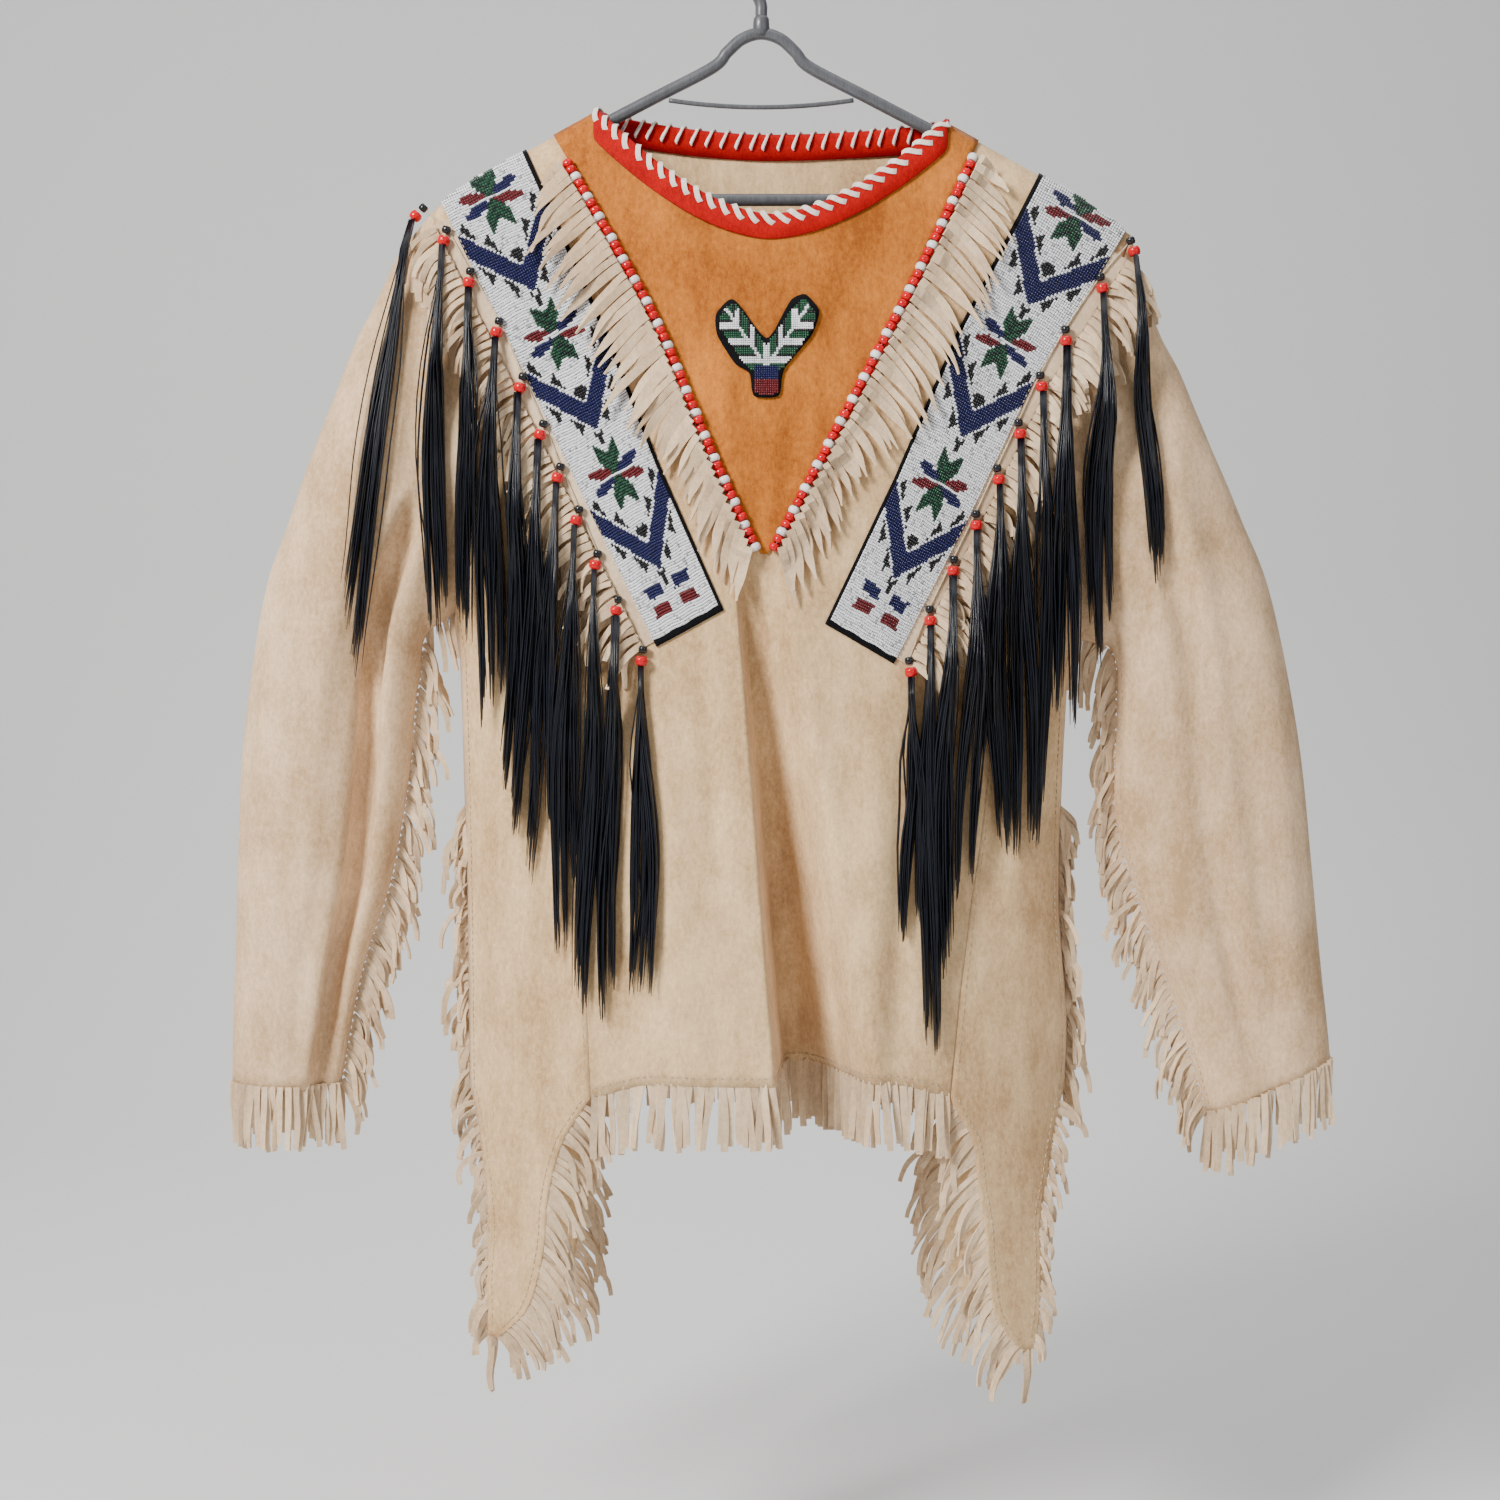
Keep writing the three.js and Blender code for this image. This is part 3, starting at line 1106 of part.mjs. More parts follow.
/** The beaded badge on the bib: two feathers that spread from one stem block. */
function featherBadge() {
  const { x, z, outline, thickness, gap } = BADGE;
  const low = LIFT + BIB.thickness + gap;
  const at = (out) => outline.map(([dx, dz]) => onBody('front', x + dx, z + dz, out));
  const flat = outline.map(([dx, dz]) => new THREE.Vector2(dx, dz));
  const count = outline.length;
  const triangles = THREE.ShapeUtils.triangulateShape(flat, []);
  const rim = outline.flatMap((_, i) => {
    const next = (i + 1) % count;
    return [[i, next, count + next], [i, count + next, count + i]];
  });
  const back = triangles.map(([a, b, c]) => [count + a, count + c, count + b]);
  return closedGeometry([...at(low + thickness), ...at(low)], [...triangles, ...back, ...rim]);
}
add('feather_badge', featherBadge(), 'seedBeads');

export default shirt;
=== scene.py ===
"""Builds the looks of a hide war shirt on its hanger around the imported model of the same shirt."""

import math

import bpy
import numpy as np
from bpy.props import FloatProperty, FloatVectorProperty, IntProperty, PointerProperty
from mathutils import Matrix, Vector


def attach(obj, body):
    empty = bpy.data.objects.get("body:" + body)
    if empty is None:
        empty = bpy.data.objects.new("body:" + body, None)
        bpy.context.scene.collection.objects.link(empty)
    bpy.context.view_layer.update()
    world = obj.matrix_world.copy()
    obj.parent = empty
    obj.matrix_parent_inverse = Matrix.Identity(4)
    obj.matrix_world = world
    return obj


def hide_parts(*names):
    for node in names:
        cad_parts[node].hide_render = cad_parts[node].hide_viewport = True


bl_info = {
    "name": "War Shirt on a Hanger",
    "version": (1, 0, 0),
    "blender": (4, 5, 0),
    "location": "View3D > Sidebar > War Shirt",
    "description": "Builds a fringed and beaded hide war shirt on a hanger, piece by piece",
    "category": "Add Mesh",
}

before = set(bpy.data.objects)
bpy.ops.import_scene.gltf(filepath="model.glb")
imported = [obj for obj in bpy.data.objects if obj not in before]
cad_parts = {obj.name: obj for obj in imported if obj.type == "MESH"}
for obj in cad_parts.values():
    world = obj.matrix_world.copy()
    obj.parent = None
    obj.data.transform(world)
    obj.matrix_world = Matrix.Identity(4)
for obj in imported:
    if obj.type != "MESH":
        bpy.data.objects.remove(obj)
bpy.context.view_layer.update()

MM = 0.001  # every shape is worked out in millimetres
TAU = 2 * math.pi

# ---------------------------------------------------------------- the shirt's cut, in mm

HIDE = 2.0  # thickness of a hide wall
SEAM = 0.4  # gap between two pieces sewn edge to edge
LIFT = 0.35  # gap between a panel and what is sewn flat on it
FOLD_RADIUS = 6.8
SHOULDER = {"height": -78.1, "slope": 0.54, "arm_end": 201, "neck_half": 110}
NECK_MID = 7
NECK_HEIGHT = {"front": -223, "back": -157}
HEM = {"z": -848, "corner_drop": 12, "flat_half": 85, "half": 140}
FOLD = {
    "top": -470, "depth": 88, "length": 380, "x": -4, "z": -571, "lean": 0.098,
    "lip": -14, "floor_left": -4, "floor_right": 8, "end": 64,
}

# Tables of (height, distance from the middle), from the top down.
LEFT = {
    "name": "left", "sign": -1, "sag": 0.0039, "shoulder_z": -215, "armpit_z": -509,
    "seam_top": -395, "neck": 120.5, "neck_foot": 75,
    "edge": [(-215, 241.5), (-280, 222), (-340, 206), (-412, 201.5), (-465, 211), (-509, 228.4),
             (-545, 225), (-700, 222), (-860, 221)],
    "seam": [(-395, 202.3), (-450, 186), (-520, 165), (-600, 149), (-734, 131), (-780, 127),
             (-860, 123.6)],
    "tab_inner": [(-860, 124), (-870, 131), (-893, 145), (-933, 156), (-970, 159), (-999, 165),
                  (-1020, 173), (-1036, 187), (-1044, 196)],
    "tab_outer": [(-860, 221), (-870, 217), (-893, 211.5), (-933, 205), (-970, 202.5),
                  (-999, 204), (-1020, 204), (-1036, 203.5), (-1044, 202.5)],
}
RIGHT = {
    "name": "right", "sign": 1, "sag": 0.00135, "shoulder_z": -232, "armpit_z": -529.6,
    "seam_top": -415, "neck": 134.9, "neck_foot": 106,
    "edge": [(-232, 272), (-295, 247), (-360, 225), (-430, 214), (-485, 221), (-529.6, 234.6),
             (-565, 229), (-720, 225), (-812, 232), (-870, 231)],
    "seam": [(-415, 214.9), (-470, 197), (-540, 180), (-620, 168), (-712, 155.6), (-770, 147),
             (-860, 137.5)],
    "tab_inner": [(-860, 138), (-870, 142), (-893, 154.5), (-926, 159), (-955, 164), (-985, 166),
                  (-1019, 171), (-1040, 182), (-1052, 194)],
    "tab_outer": [(-860, 231), (-870, 226), (-893, 220), (-926, 213.5), (-955, 207.5),
                  (-985, 207.5), (-1019, 206.5), (-1040, 204), (-1052, 201)],
}
BACK_TAB_INNER = [(-860, 138.5), (-870, 139.5), (-900, 141), (-950, 142), (-989, 143),
                  (-1025, 149), (-1046, 162), (-1056, 180)]
BACK_TAB_OUTER = [(-860, 226), (-870, 220), (-900, 213), (-950, 207), (-989, 205), (-1025, 205),
                  (-1046, 204), (-1056, 202)]
SIDES = (LEFT, RIGHT)
FACES = ("front", "back")
FACE_SIGN = {"front": -1, "back": 1}  # which way along y a face looks
TAB_TOP = -860  # height where a side hide becomes its tab
NECK_LINE = {"top": -144, "drop": 706}

# A sleeve's sections from the armhole to the cuff: outer and inner edge, bow of the section,
# depth of its oval, and how deep and where its crease lies.
SLEEVES = {
    "left": [
        (-267, -246, -236, -515, 22, 31, 0, 0.5), (-286, -284, -243, -519, 14, 32, 2, 0.55),
        (-304, -320, -249, -524, 8, 33, 5, 0.6), (-329, -382, -253, -535, 3, 34, 12, 0.62),
        (-350, -439, -255, -555, 0, 34, 18, 0.64), (-370, -496, -259, -582, 0, 33, 22, 0.66),
        (-387, -600, -265, -636, 0, 31, 20, 0.7), (-393, -690, -278, -708, 0, 29, 17, 0.74),
        (-397, -775, -301, -777, 0, 27, 14, 0.8), (-400.5, -864, -318.6, -866, 0, 25, 9, 0.85),
    ],
    "right": [
        (283, -268, 243, -530.5, -24, 31, 0, 0.5), (295, -305, 252, -532, -16, 32, 0, 0.5),
        (312, -337, 261, -536, -10, 32, 2, 0.5), (334, -388, 266, -549, -4, 32, 4, 0.45),
        (356, -438, 267, -575, 0, 31, 6, 0.42), (379, -494, 266, -612, 0, 30, 7, 0.4),
        (402, -600, 268, -668, 0, 28, 6, 0.4), (414, -697, 289, -738, 0, 27, 5, 0.42),
        (424, -785, 314, -805, 0, 25, 4, 0.45), (431, -846, 339, -888, 0, 24, 3, 0.5),
    ],
}

# Lines on the front as (x, z) from the shoulder down: a strip's edges, and the bead strands.
STRIPS = {
    "left": {
        "inner": [(-171, -180.6), (-114, -307), (-74, -407), (-30.5, -504.6)],
        "outer": [(-234, -209.5), (-171, -337), (-124, -435), (-77, -530)],
    },
    "right": {
        "inner": [(204.3, -193.6), (144, -307), (98, -413), (49.3, -514.6)],
        "outer": [(267.4, -229.3), (199, -339), (150, -441), (97.2, -542.3)],
    },
}
BEAD_LINES = {
    "left": [(-141, -183), (-104, -247), (-71.5, -308), (-37, -391), (-3.5, -464)],
    "right": [(154, -179), (122, -246), (87, -315), (45, -394), (8, -464)],
}
BIB_TIP = -470
BIB_FACE = LIFT + 1.6  # the bib's outer face above the front hide
BAND = 1.2  # thickness of a hide band
BAND_WIDTH = 11
BAND_TOP = {"left": -222, "right": -246}

# Hair tassels: place of the knot, length of the lock and how far it drifts sideways.
TASSELS = {
    ("front", "left"): [
        (-245, -216, 320, -46), (-228, -232, 285, -8), (-210.5, -262, 262, -2),
        (-189.4, -298, 300, -8), (-172, -338, 330, -10), (-157, -372, 320, -12),
        (-144.5, -403, 270, -10), (-131, -434, 300, -9), (-117.5, -466, 330, -6),
        (-103, -499, 300, -3), (-84.7, -535, 265, -2),
    ],
    ("front", "right"): [
        (268, -240, 250, 12), (245.7, -266, 262, 3), (220, -304, 300, -2), (201.5, -337, 330, 2),
        (185.8, -371, 305, 2), (170.1, -404, 270, 3), (154.7, -437, 285, -4),
        (138.5, -470, 300, -8), (121, -506, 325, -3), (106, -543, 205, 3),
    ],
    ("back", "left"): [
        (-222, -244, 270, -20), (-184, -310, 300, -8), (-150, -382, 280, -4),
        (-118, -458, 300, 0), (-85, -532, 260, 2),
    ],
    ("back", "right"): [
        (249, -262, 270, 22), (210, -324, 300, 8), (176, -392, 280, 4), (142, -464, 300, 0),
        (107, -541, 250, -2),
    ],
}
SIDE_FRINGE_TOP = -652
BADGE = {"x": 3.5, "z": -316}
BADGE_OUTLINE = [
    (0.7, 0), (17.5, 33), (28, 37), (39, 24), (33.5, 7), (11.6, -18), (10, -38), (-10, -38),
    (-11.6, -19.6), (-22.5, -14.5), (-36, 7), (-37, 22), (-24, 35),
]
ARM = {"height": -92.4, "slope": 0.509, "arch_top": -86.1, "bar": -206}
HOOK = {"z": -24.5, "radius": 29, "start": 220, "end": -35}
HANGER_TUBE = 4.5
CROSS_ROD = {"radius": 1.75, "half": 67.7, "middle": -139, "rise": 5}

# Creases as (x, z) to (x, z), half width and height, in mm. A negative height is a trough.
CREASES = {
    "front": [
        (-172, -560, -150, -835, 13, -2.4), (-142, -520, -118, -840, 15, 2.6),
        (-112, -640, -88, -845, 12, -2.2), (-72, -560, -52, -842, 13, 2.4),
        (-44, -540, -30, -700, 7, -1.8), (84, -560, 78, -842, 13, 2.6),
        (104, -600, 98, -840, 9, -2),
        (128, -560, 122, -836, 14, 2.2), (186, -520, 172, -700, 10, -2),
        (-196, -600, -150, -690, 9, -1.6),
        (-60, -236, -12, -300, 10, 1.4), (66, -236, 26, -310, 12, 1.3),
        (-28, -330, -14, -440, 8, 1.2),
        (34, -340, 14, -440, 8, -1.1), (-200, -690, -140, -760, 10, 1.5),
        (196, -640, 150, -740, 12, -1.7),
    ],
    "back": [
        (-150, -300, -120, -820, 18, 2.8), (-96, -420, -70, -840, 14, -2.6),
        (-30, -260, -22, -838, 18, 2.4),
        (18, -380, 24, -842, 11, -2.5), (70, -320, 64, -840, 17, 2.6),
        (120, -400, 128, -835, 14, -2.4),
        (170, -380, 150, -700, 15, 2), (-190, -420, -165, -640, 12, -2),
    ],
}
SLEEVE_CREASES = [
    # share of the length and of the way round, from and to, half width and height
    (0.16, 0.2, 0.44, 0.34, 0.035, -2.4), (0.3, 0.14, 0.62, 0.24, 0.03, 2.2),
    (0.42, 0.3, 0.5, 0.12, 0.02, -1.8), (0.52, 0.36, 0.6, 0.16, 0.022, -1.7),
    (0.6, 0.1, 0.96, 0.16, 0.03, 2.0), (0.7, 0.3, 0.98, 0.26, 0.03, -2.0),
    (0.15, 0.66, 0.5, 0.8, 0.035, -2.2), (0.36, 0.86, 0.75, 0.76, 0.03, 2.2),
    (0.55, 0.66, 0.97, 0.7, 0.03, -2.0),
]
SLEEVE_FOLD = {
    "left": [(0.22, 0.25, 0.99, 0.31, 0.015, 8.0), (0.22, 0.288, 0.99, 0.352, 0.02, -9.0)],
    "right": [(0.3, 0.19, 0.9, 0.23, 0.022, 5.0), (0.32, 0.24, 0.98, 0.285, 0.022, -5.0)],
}


# ---------------------------------------------------------------- numbers

def clamp01(t):
    """The value held between 0 and 1."""
    return np.clip(t, 0.0, 1.0)


def smoothstep(x, low, high):
    """0 below low, 1 above high, and the usual cubic between them."""
    t = clamp01((x - low) / (high - low))
    return t * t * (3 - 2 * t)


def lerp(a, b, t):
    """The value at share t of the way from a to b: a plus t times the difference."""
    return a + (b - a) * t


def read_table(rows, z):
    """Smooth curve through rows of (height, value) from the top down, held past both ends."""
    heights, values = np.array(rows, float).T
    last = len(heights) - 1
    z = np.clip(z, heights[-1], heights[0])
    i = np.clip(np.searchsorted(-heights, -z, side="right") - 1, 0, last - 1)
    above = np.maximum(np.arange(last + 1) - 1, 0)
    below = np.minimum(np.arange(last + 1) + 1, last)
    slope = (values[below] - values[above]) / (heights[below] - heights[above])
    step = heights[i + 1] - heights[i]
    t = (z - heights[i]) / step
    bend = t * (1 - t) * ((1 - t) * slope[i] - t * slope[i + 1])
    return lerp(values[i], values[i + 1], t * t * (3 - 2 * t)) + step * bend


def line_x(points, z):
    """x of a line of (x, z) points at height z, straight on past both ends."""
    x, heights = np.array(points, float).T
    i = np.clip(np.searchsorted(-heights, -np.asarray(z, float)) - 1, 0, len(x) - 2)
    return x[i] + (z - heights[i]) / (heights[i + 1] - heights[i]) * (x[i + 1] - x[i])


def along(points, shares):
    """Points at even shares of the length of a line (K, n)."""
    points = np.asarray(points, float)
    steps = np.linalg.norm(np.diff(points, axis=0), axis=1)
    length = np.concatenate([[0], np.cumsum(steps)])
    at = np.asarray(shares) * length[-1]
    return np.stack([np.interp(at, length, column) for column in points.T], axis=-1)


def length_of(points):
    """Length of a polyline: the sum of the distances between its neighbouring points."""
    return np.linalg.norm(np.diff(np.asarray(points, float), axis=0), axis=1).sum()


def smooth_line(points, count):
    """A Catmull-Rom curve through points (K, n), at count places."""
    points = np.asarray(points, float)
    ends = np.concatenate([[2 * points[0] - points[1]], points, [2 * points[-1] - points[-2]]])
    at = np.linspace(0, len(points) - 1, count)
    i = np.minimum(at.astype(int), len(points) - 2)
    t = (at - i).reshape((-1,) + (1,) * (points.ndim - 1))
    a, b, c, d = (ends[i + k] for k in range(4))
    return 0.5 * (2 * b + (c - a) * t + (2 * a - 5 * b + 4 * c - d) * t**2
                  + (3 * b - a - 3 * c + d) * t**3)


def unit(vectors):
    """Vectors divided by their own length, where that is not zero."""
    return vectors / np.maximum(np.linalg.norm(vectors, axis=-1, keepdims=True), 1e-9)


# ---------------------------------------------------------------- the body's surface

def by_side(x, key):
    """The left side's or the right side's value, by which side of the neck's middle x is on."""
    return np.where(x < NECK_MID, LEFT[key], RIGHT[key])


def by_side_table(key, x, z):
    """A side's table read at height z, by which side of the neck's middle x is on."""
    return np.where(x < NECK_MID, read_table(LEFT[key], z), read_table(RIGHT[key], z))


def ridge(x):
    """Height of the shoulder fold: a slope outside the neck, a parabola inside it, and a sag
    past the arm's end that grows with the square of the distance."""
    out = np.abs(x)
    half = SHOULDER["neck_half"]
    inside = SHOULDER["height"] - SHOULDER["slope"] * (half / 2 + out**2 / (2 * half))
    past = np.maximum(0, out - SHOULDER["arm_end"])
    outside = SHOULDER["height"] - SHOULDER["slope"] * out - by_side(x, "sag") * past**2
    return np.where(out < half, inside, outside)


def drawn_in(x, z):
    """How far front and back are drawn together at the side: 0 at the shoulder, 1 at the armpit."""
    shoulder, armpit = by_side(x, "shoulder_z"), by_side(x, "armpit_z")
    above = clamp01((shoulder - z) / (shoulder - armpit))
    return np.where(z > armpit, above, 1 - 0.15 * smoothstep(-z, 850, 1040))


def depth_squared(face, x, z):
    """Square of the half depth: 2 r drop, times a share of it, less a square towards the side."""
    drop = ridge(x) - z
    fall = np.maximum(drop, 0)
    if face == "front":
        share = 0.78 + 0.22 * np.exp(-fall / 35) + 0.13 * smoothstep(fall, 400, 800)
    else:
        share = 0.57 + 0.43 * np.exp(-fall / 90)
    across = x / by_side_table("edge", x, z)
    return 2 * FOLD_RADIUS * drop * share**2 * (1 - drawn_in(x, z) * across**2)


def fold_middle(z):
    """Where the centre fold runs: its x at the top, leaning sideways in proportion to the drop."""
    return FOLD["x"] + FOLD["lean"] * (FOLD["z"] - z)


def fold_scale(z):
    """Width of the centre fold: half at its top, growing in a straight line to full."""
    return lerp(0.5, 1.0, clamp01((FOLD["top"] - z) / FOLD["length"]))


def fold_inwards(x, z):
    """Depth of the central fold: it grows down the front, steep on its left, slow on its right."""
    run = np.clip((FOLD["top"] - z) / FOLD["length"], 0, 1.05)
    s = (x - fold_middle(z)) / fold_scale(z)
    rise = smoothstep(s, FOLD["lip"], FOLD["floor_left"])
    fade = 1 - smoothstep(s, FOLD["floor_right"], FOLD["end"])
    return FOLD["depth"] * run**0.85 * rise * fade


def on_body(face, x, z, out=0.0):
    """Points of the body's outer surface at (x, z), moved out along its normal."""
    x, z = np.broadcast_arrays(np.asarray(x, float), np.asarray(z, float))
    sign = FACE_SIGN[face]

    def shift(u, v):
        return sign * SEAM / 2 + (fold_inwards(u, v) if face == "front" else 0)

    half = sign * np.sqrt(np.maximum(depth_squared(face, x, z), 0))
    e = 0.05
    area_x = (depth_squared(face, x + e, z) - depth_squared(face, x - e, z)) / (2 * e)
    area_z = (depth_squared(face, x, z + e) - depth_squared(face, x, z - e)) / (2 * e)
    shift_x = (shift(x + e, z) - shift(x - e, z)) / (2 * e)
    shift_z = (shift(x, z + e) - shift(x, z - e)) / (2 * e)
    normal = unit(np.stack(
        [-area_x - 2 * half * shift_x, 2 * half, -area_z - 2 * half * shift_z], axis=-1))
    return np.stack([x, half + shift(x, z), z], axis=-1) + normal * np.asarray(out)[..., None]


def body_normal(face, x, z):
    """Direction out of the body, as the step from a point on it to one 1 mm above it."""
    return on_body(face, x, z, 1.0) - on_body(face, x, z, 0.0)


def creases(face, x, z):
    """Soft ridges and troughs: a bell across each line, fading out at its two ends."""
    height = np.zeros(np.broadcast(x, z).shape)
    for x0, z0, x1, z1, width, tall in CREASES[face]:
        run = np.hypot(x1 - x0, z1 - z0)
        t = ((x - x0) * (x1 - x0) + (z - z0) * (z1 - z0)) / run**2
        gap = ((x - x0) * (z1 - z0) - (z - z0) * (x1 - x0)) / run
        fade = smoothstep(t, -0.15, 0.35) * (1 - smoothstep(t, 0.75, 1.2))
        height = height + 1.5 * tall * np.exp(-((gap / width) ** 2)) * fade
    return height


def hide_grain(x, z):
    """Slow uneven waves of a hide that hangs: a few sines that never line up, in mm."""
    return (0.35 * np.sin(x / 13.0 + 1.7 * np.sin(z / 61)) * np.sin(z / 37 + 0.8)
            + 0.3 * np.sin(x / 23.0 - z / 49 + 2.1)
            + 0.2 * np.sin(x / 7.1 + z / 17 + 0.6 * np.sin(x / 31)))


def edge_fade(x, z):
    """0 on the shoulder fold and at the side edges, 1 away from them: keeps the seams closed."""
    inside = np.minimum(by_side_table("edge", x, z) - np.abs(x), 60)
    return smoothstep(ridge(x) - z, 25, 90) * smoothstep(inside, 6, 34)


def on_hide(face, x, z, out=0.0):
    """The body's surface with its creases, moved out."""
    raised = (creases(face, x, z) + hide_grain(x, z)) * edge_fade(x, z)
    return on_body(face, x, z, raised + out)


# ---------------------------------------------------------------- outlines of the panels

def neck_line(side, z):
    """Line from the neck to its foot at the hem, straight between the two heights."""
    return side["sign"] * lerp(side["neck"], side["neck_foot"],
                                clamp01((NECK_LINE["top"] - z) / NECK_LINE["drop"]))


def panel_edge(side, z):
    """x where a panel ends: at the armhole, and below it at the seam with the side piece."""
    upper = read_table(side["edge"], z)
    lower = read_table(side["seam"], z) - SEAM / 2
    return side["sign"] * np.where(z > side["seam_top"], upper, lower)


def upper_edge(face, x):
    """The shoulder fold, or the neck hole between its two ends."""
    end = np.where(x < NECK_MID, -LEFT["neck"], RIGHT["neck"])
    out = np.abs(x - NECK_MID) / np.abs(end - NECK_MID)
    hole = lerp(NECK_HEIGHT[face], ridge(end), np.minimum(out, 1) ** 1.7)
    return np.where(out >= 1, ridge(x), hole)


def hem_at(x):
    """Height of the hem: level in the middle, dropping smoothly towards its corners."""
    drop = smoothstep(np.abs(x - NECK_MID), HEM["flat_half"], HEM["half"])
    return HEM["z"] - HEM["corner_drop"] * drop


def hem_ends():
    """Where the hem ends: 1 mm inside each side seam."""
    return -(read_table(LEFT["seam"], HEM["z"]) - 1), read_table(RIGHT["seam"], HEM["z"]) - 1


def tab_tables(side, face):
    """A tab's outer and inner edge, as tables of height and distance from the middle."""
    if face == "back":
        return BACK_TAB_OUTER, BACK_TAB_INNER
    return side["tab_outer"], side["tab_inner"]


def panel_columns(face):
    """Column places as (anchor before, anchor after, share between them)."""
    if face == "front":
        spans = [np.linspace(0, 1, 22), 1 - (1 - np.linspace(0, 1, 20)) ** 1.3,
                 np.concatenate([np.linspace(0, 0.3, 20), np.linspace(0.32, 1, 16)]),
                 np.linspace(0, 1, 14) ** 1.2, np.linspace(0, 1, 22)]
    else:
        spans = [np.linspace(0, 1, 24), np.linspace(0, 1, 52), np.linspace(0, 1, 24)]
    before = np.concatenate([np.full(len(s) - (k > 0), k) for k, s in enumerate(spans)])
    share = np.concatenate([s[(k > 0):] for k, s in enumerate(spans)])
    return before, share


def panel_x(face, z, before, share):
    """x of each column at the heights z, whose last axis is the column."""
    anchors = [panel_edge(LEFT, z), neck_line(LEFT, z)]
    if face == "front":
        chest = smoothstep(z, FOLD["top"], NECK_HEIGHT["front"])
        scale = lerp(fold_scale(z), 1.4, chest)
        middle = fold_middle(np.minimum(z, FOLD["top"]))
        anchors += [middle + FOLD["lip"] * scale, middle + FOLD["end"] * scale]
    anchors += [neck_line(RIGHT, z), panel_edge(RIGHT, z)]
    stack = np.stack(anchors)
    column = np.broadcast_to(before, z.shape)[None]
    low = np.take_along_axis(stack, column, 0)[0]
    high = np.take_along_axis(stack, column + 1, 0)[0]
    return lerp(low, high, share)


def panel_grid(face):
    """(x, z) over a panel: finer near the shoulder fold, even from there to the hem."""
    before, share = panel_columns(face)
    top = np.full(share.shape, -180.0)
    hem = np.full(share.shape, float(HEM["z"]))
    for _ in range(12):
        top = upper_edge(face, panel_x(face, top, before, share))
        hem = hem_at(panel_x(face, hem, before, share))
    level = np.linspace(LEFT["seam_top"], RIGHT["seam_top"], len(share))
    upper = lerp(top, level, np.linspace(0, 1, 34)[:, None] ** 1.9)
    lower = lerp(level, hem, np.linspace(0, 1, 44)[1:, None])
    z = np.concatenate([upper, lower])
    return panel_x(face, z, before, share), z


def side_grid(face, side):
    """(x, z) over a side piece, from under the armhole to the tip of its leg tab."""
    outer_tab, inner_tab = tab_tables(side, face)
    body_z = np.linspace(side["seam_top"] - 0.5, TAB_TOP, 60)
    tab_z = np.linspace(TAB_TOP, inner_tab[-1][0], 34)[1:]
    z = np.concatenate([body_z, tab_z])[:, None]
    in_tab = z < TAB_TOP
    inner = np.where(in_tab, read_table(inner_tab, z), read_table(side["seam"], z) + SEAM / 2)
    outer = np.where(in_tab, read_table(outer_tab, z), read_table(side["edge"], z))
    x = side["sign"] * lerp(inner, np.maximum(outer, inner + 1), np.linspace(0, 1, 22)[None])
    return x, np.broadcast_to(z, x.shape)


# ---------------------------------------------------------------- meshes

def grid_quads(rows, columns, round_it=False):
    """Faces of a grid of points; round_it joins the last column to the first."""
    r = np.arange(rows - 1)[:, None]
    c = np.arange(columns if round_it else columns - 1)[None]
    a, b = r * columns + c, r * columns + (c + 1) % columns
    return np.stack([a, b, b + columns, a + columns], axis=-1).reshape(-1, 4)


def turned_out(points, quads):
    """The faces in the order that makes a closed mesh's volume positive."""
    a, b, c, d = (points[quads[:, k]] for k in range(4))
    volume = np.einsum("ij,ij->", a, np.cross(b, c)) + np.einsum("ij,ij->", a, np.cross(c, d))
    return quads if volume > 0 else quads[:, ::-1]


def shell(outer, inner, round_it=False):
    """A closed wall between two grids of points (R, C, 3)."""
    rows, columns = outer.shape[:2]
    count = rows * columns
    points = np.concatenate([outer.reshape(-1, 3), inner.reshape(-1, 3)])
    quads = grid_quads(rows, columns, round_it)
    c = np.arange(columns if round_it else columns - 1)
    d = (c + 1) % columns
    bottom = (rows - 1) * columns
    faces = [quads, quads[:, ::-1] + count,
             np.stack([d, c, c + count, d + count], -1),
             np.stack([c, d, d + count, c + count], -1) + bottom]
    if not round_it:
        r = np.arange(rows - 1) * columns
        s = r + columns
        faces += [np.stack([r, s, s + count, r + count], -1),
                  np.stack([s, r, r + count, s + count], -1) + columns - 1]
    return points, turned_out(points, np.concatenate(faces))


def sections(rings, closed=False):
    """Bodies lofted through rings (N, K, S, 3), with flat ends unless each is closed on itself."""
    n, k, s = rings.shape[:3]
    points = rings.reshape(-1, 3)
    i = np.arange(k if closed else k - 1)[:, None]
    j = np.arange(s)[None]
    a, b = i * s + j, i * s + (j + 1) % s
    c, d = ((i + 1) % k) * s + (j + 1) % s, ((i + 1) % k) * s + j
    quads = np.stack([a, b, c, d], -1).reshape(1, -1, 4) + np.arange(n)[:, None, None] * k * s
    quads = quads.reshape(-1, 4)
    turned = turned_out(points, quads)
    ends = []
    if not closed:
        order = np.arange(s) if turned is not quads else np.arange(s)[::-1]
        start = np.arange(n)[:, None] * k * s
        ends = (start + order).tolist() + (start + (k - 1) * s + order[::-1]).tolist()
    return points, turned.tolist() + ends


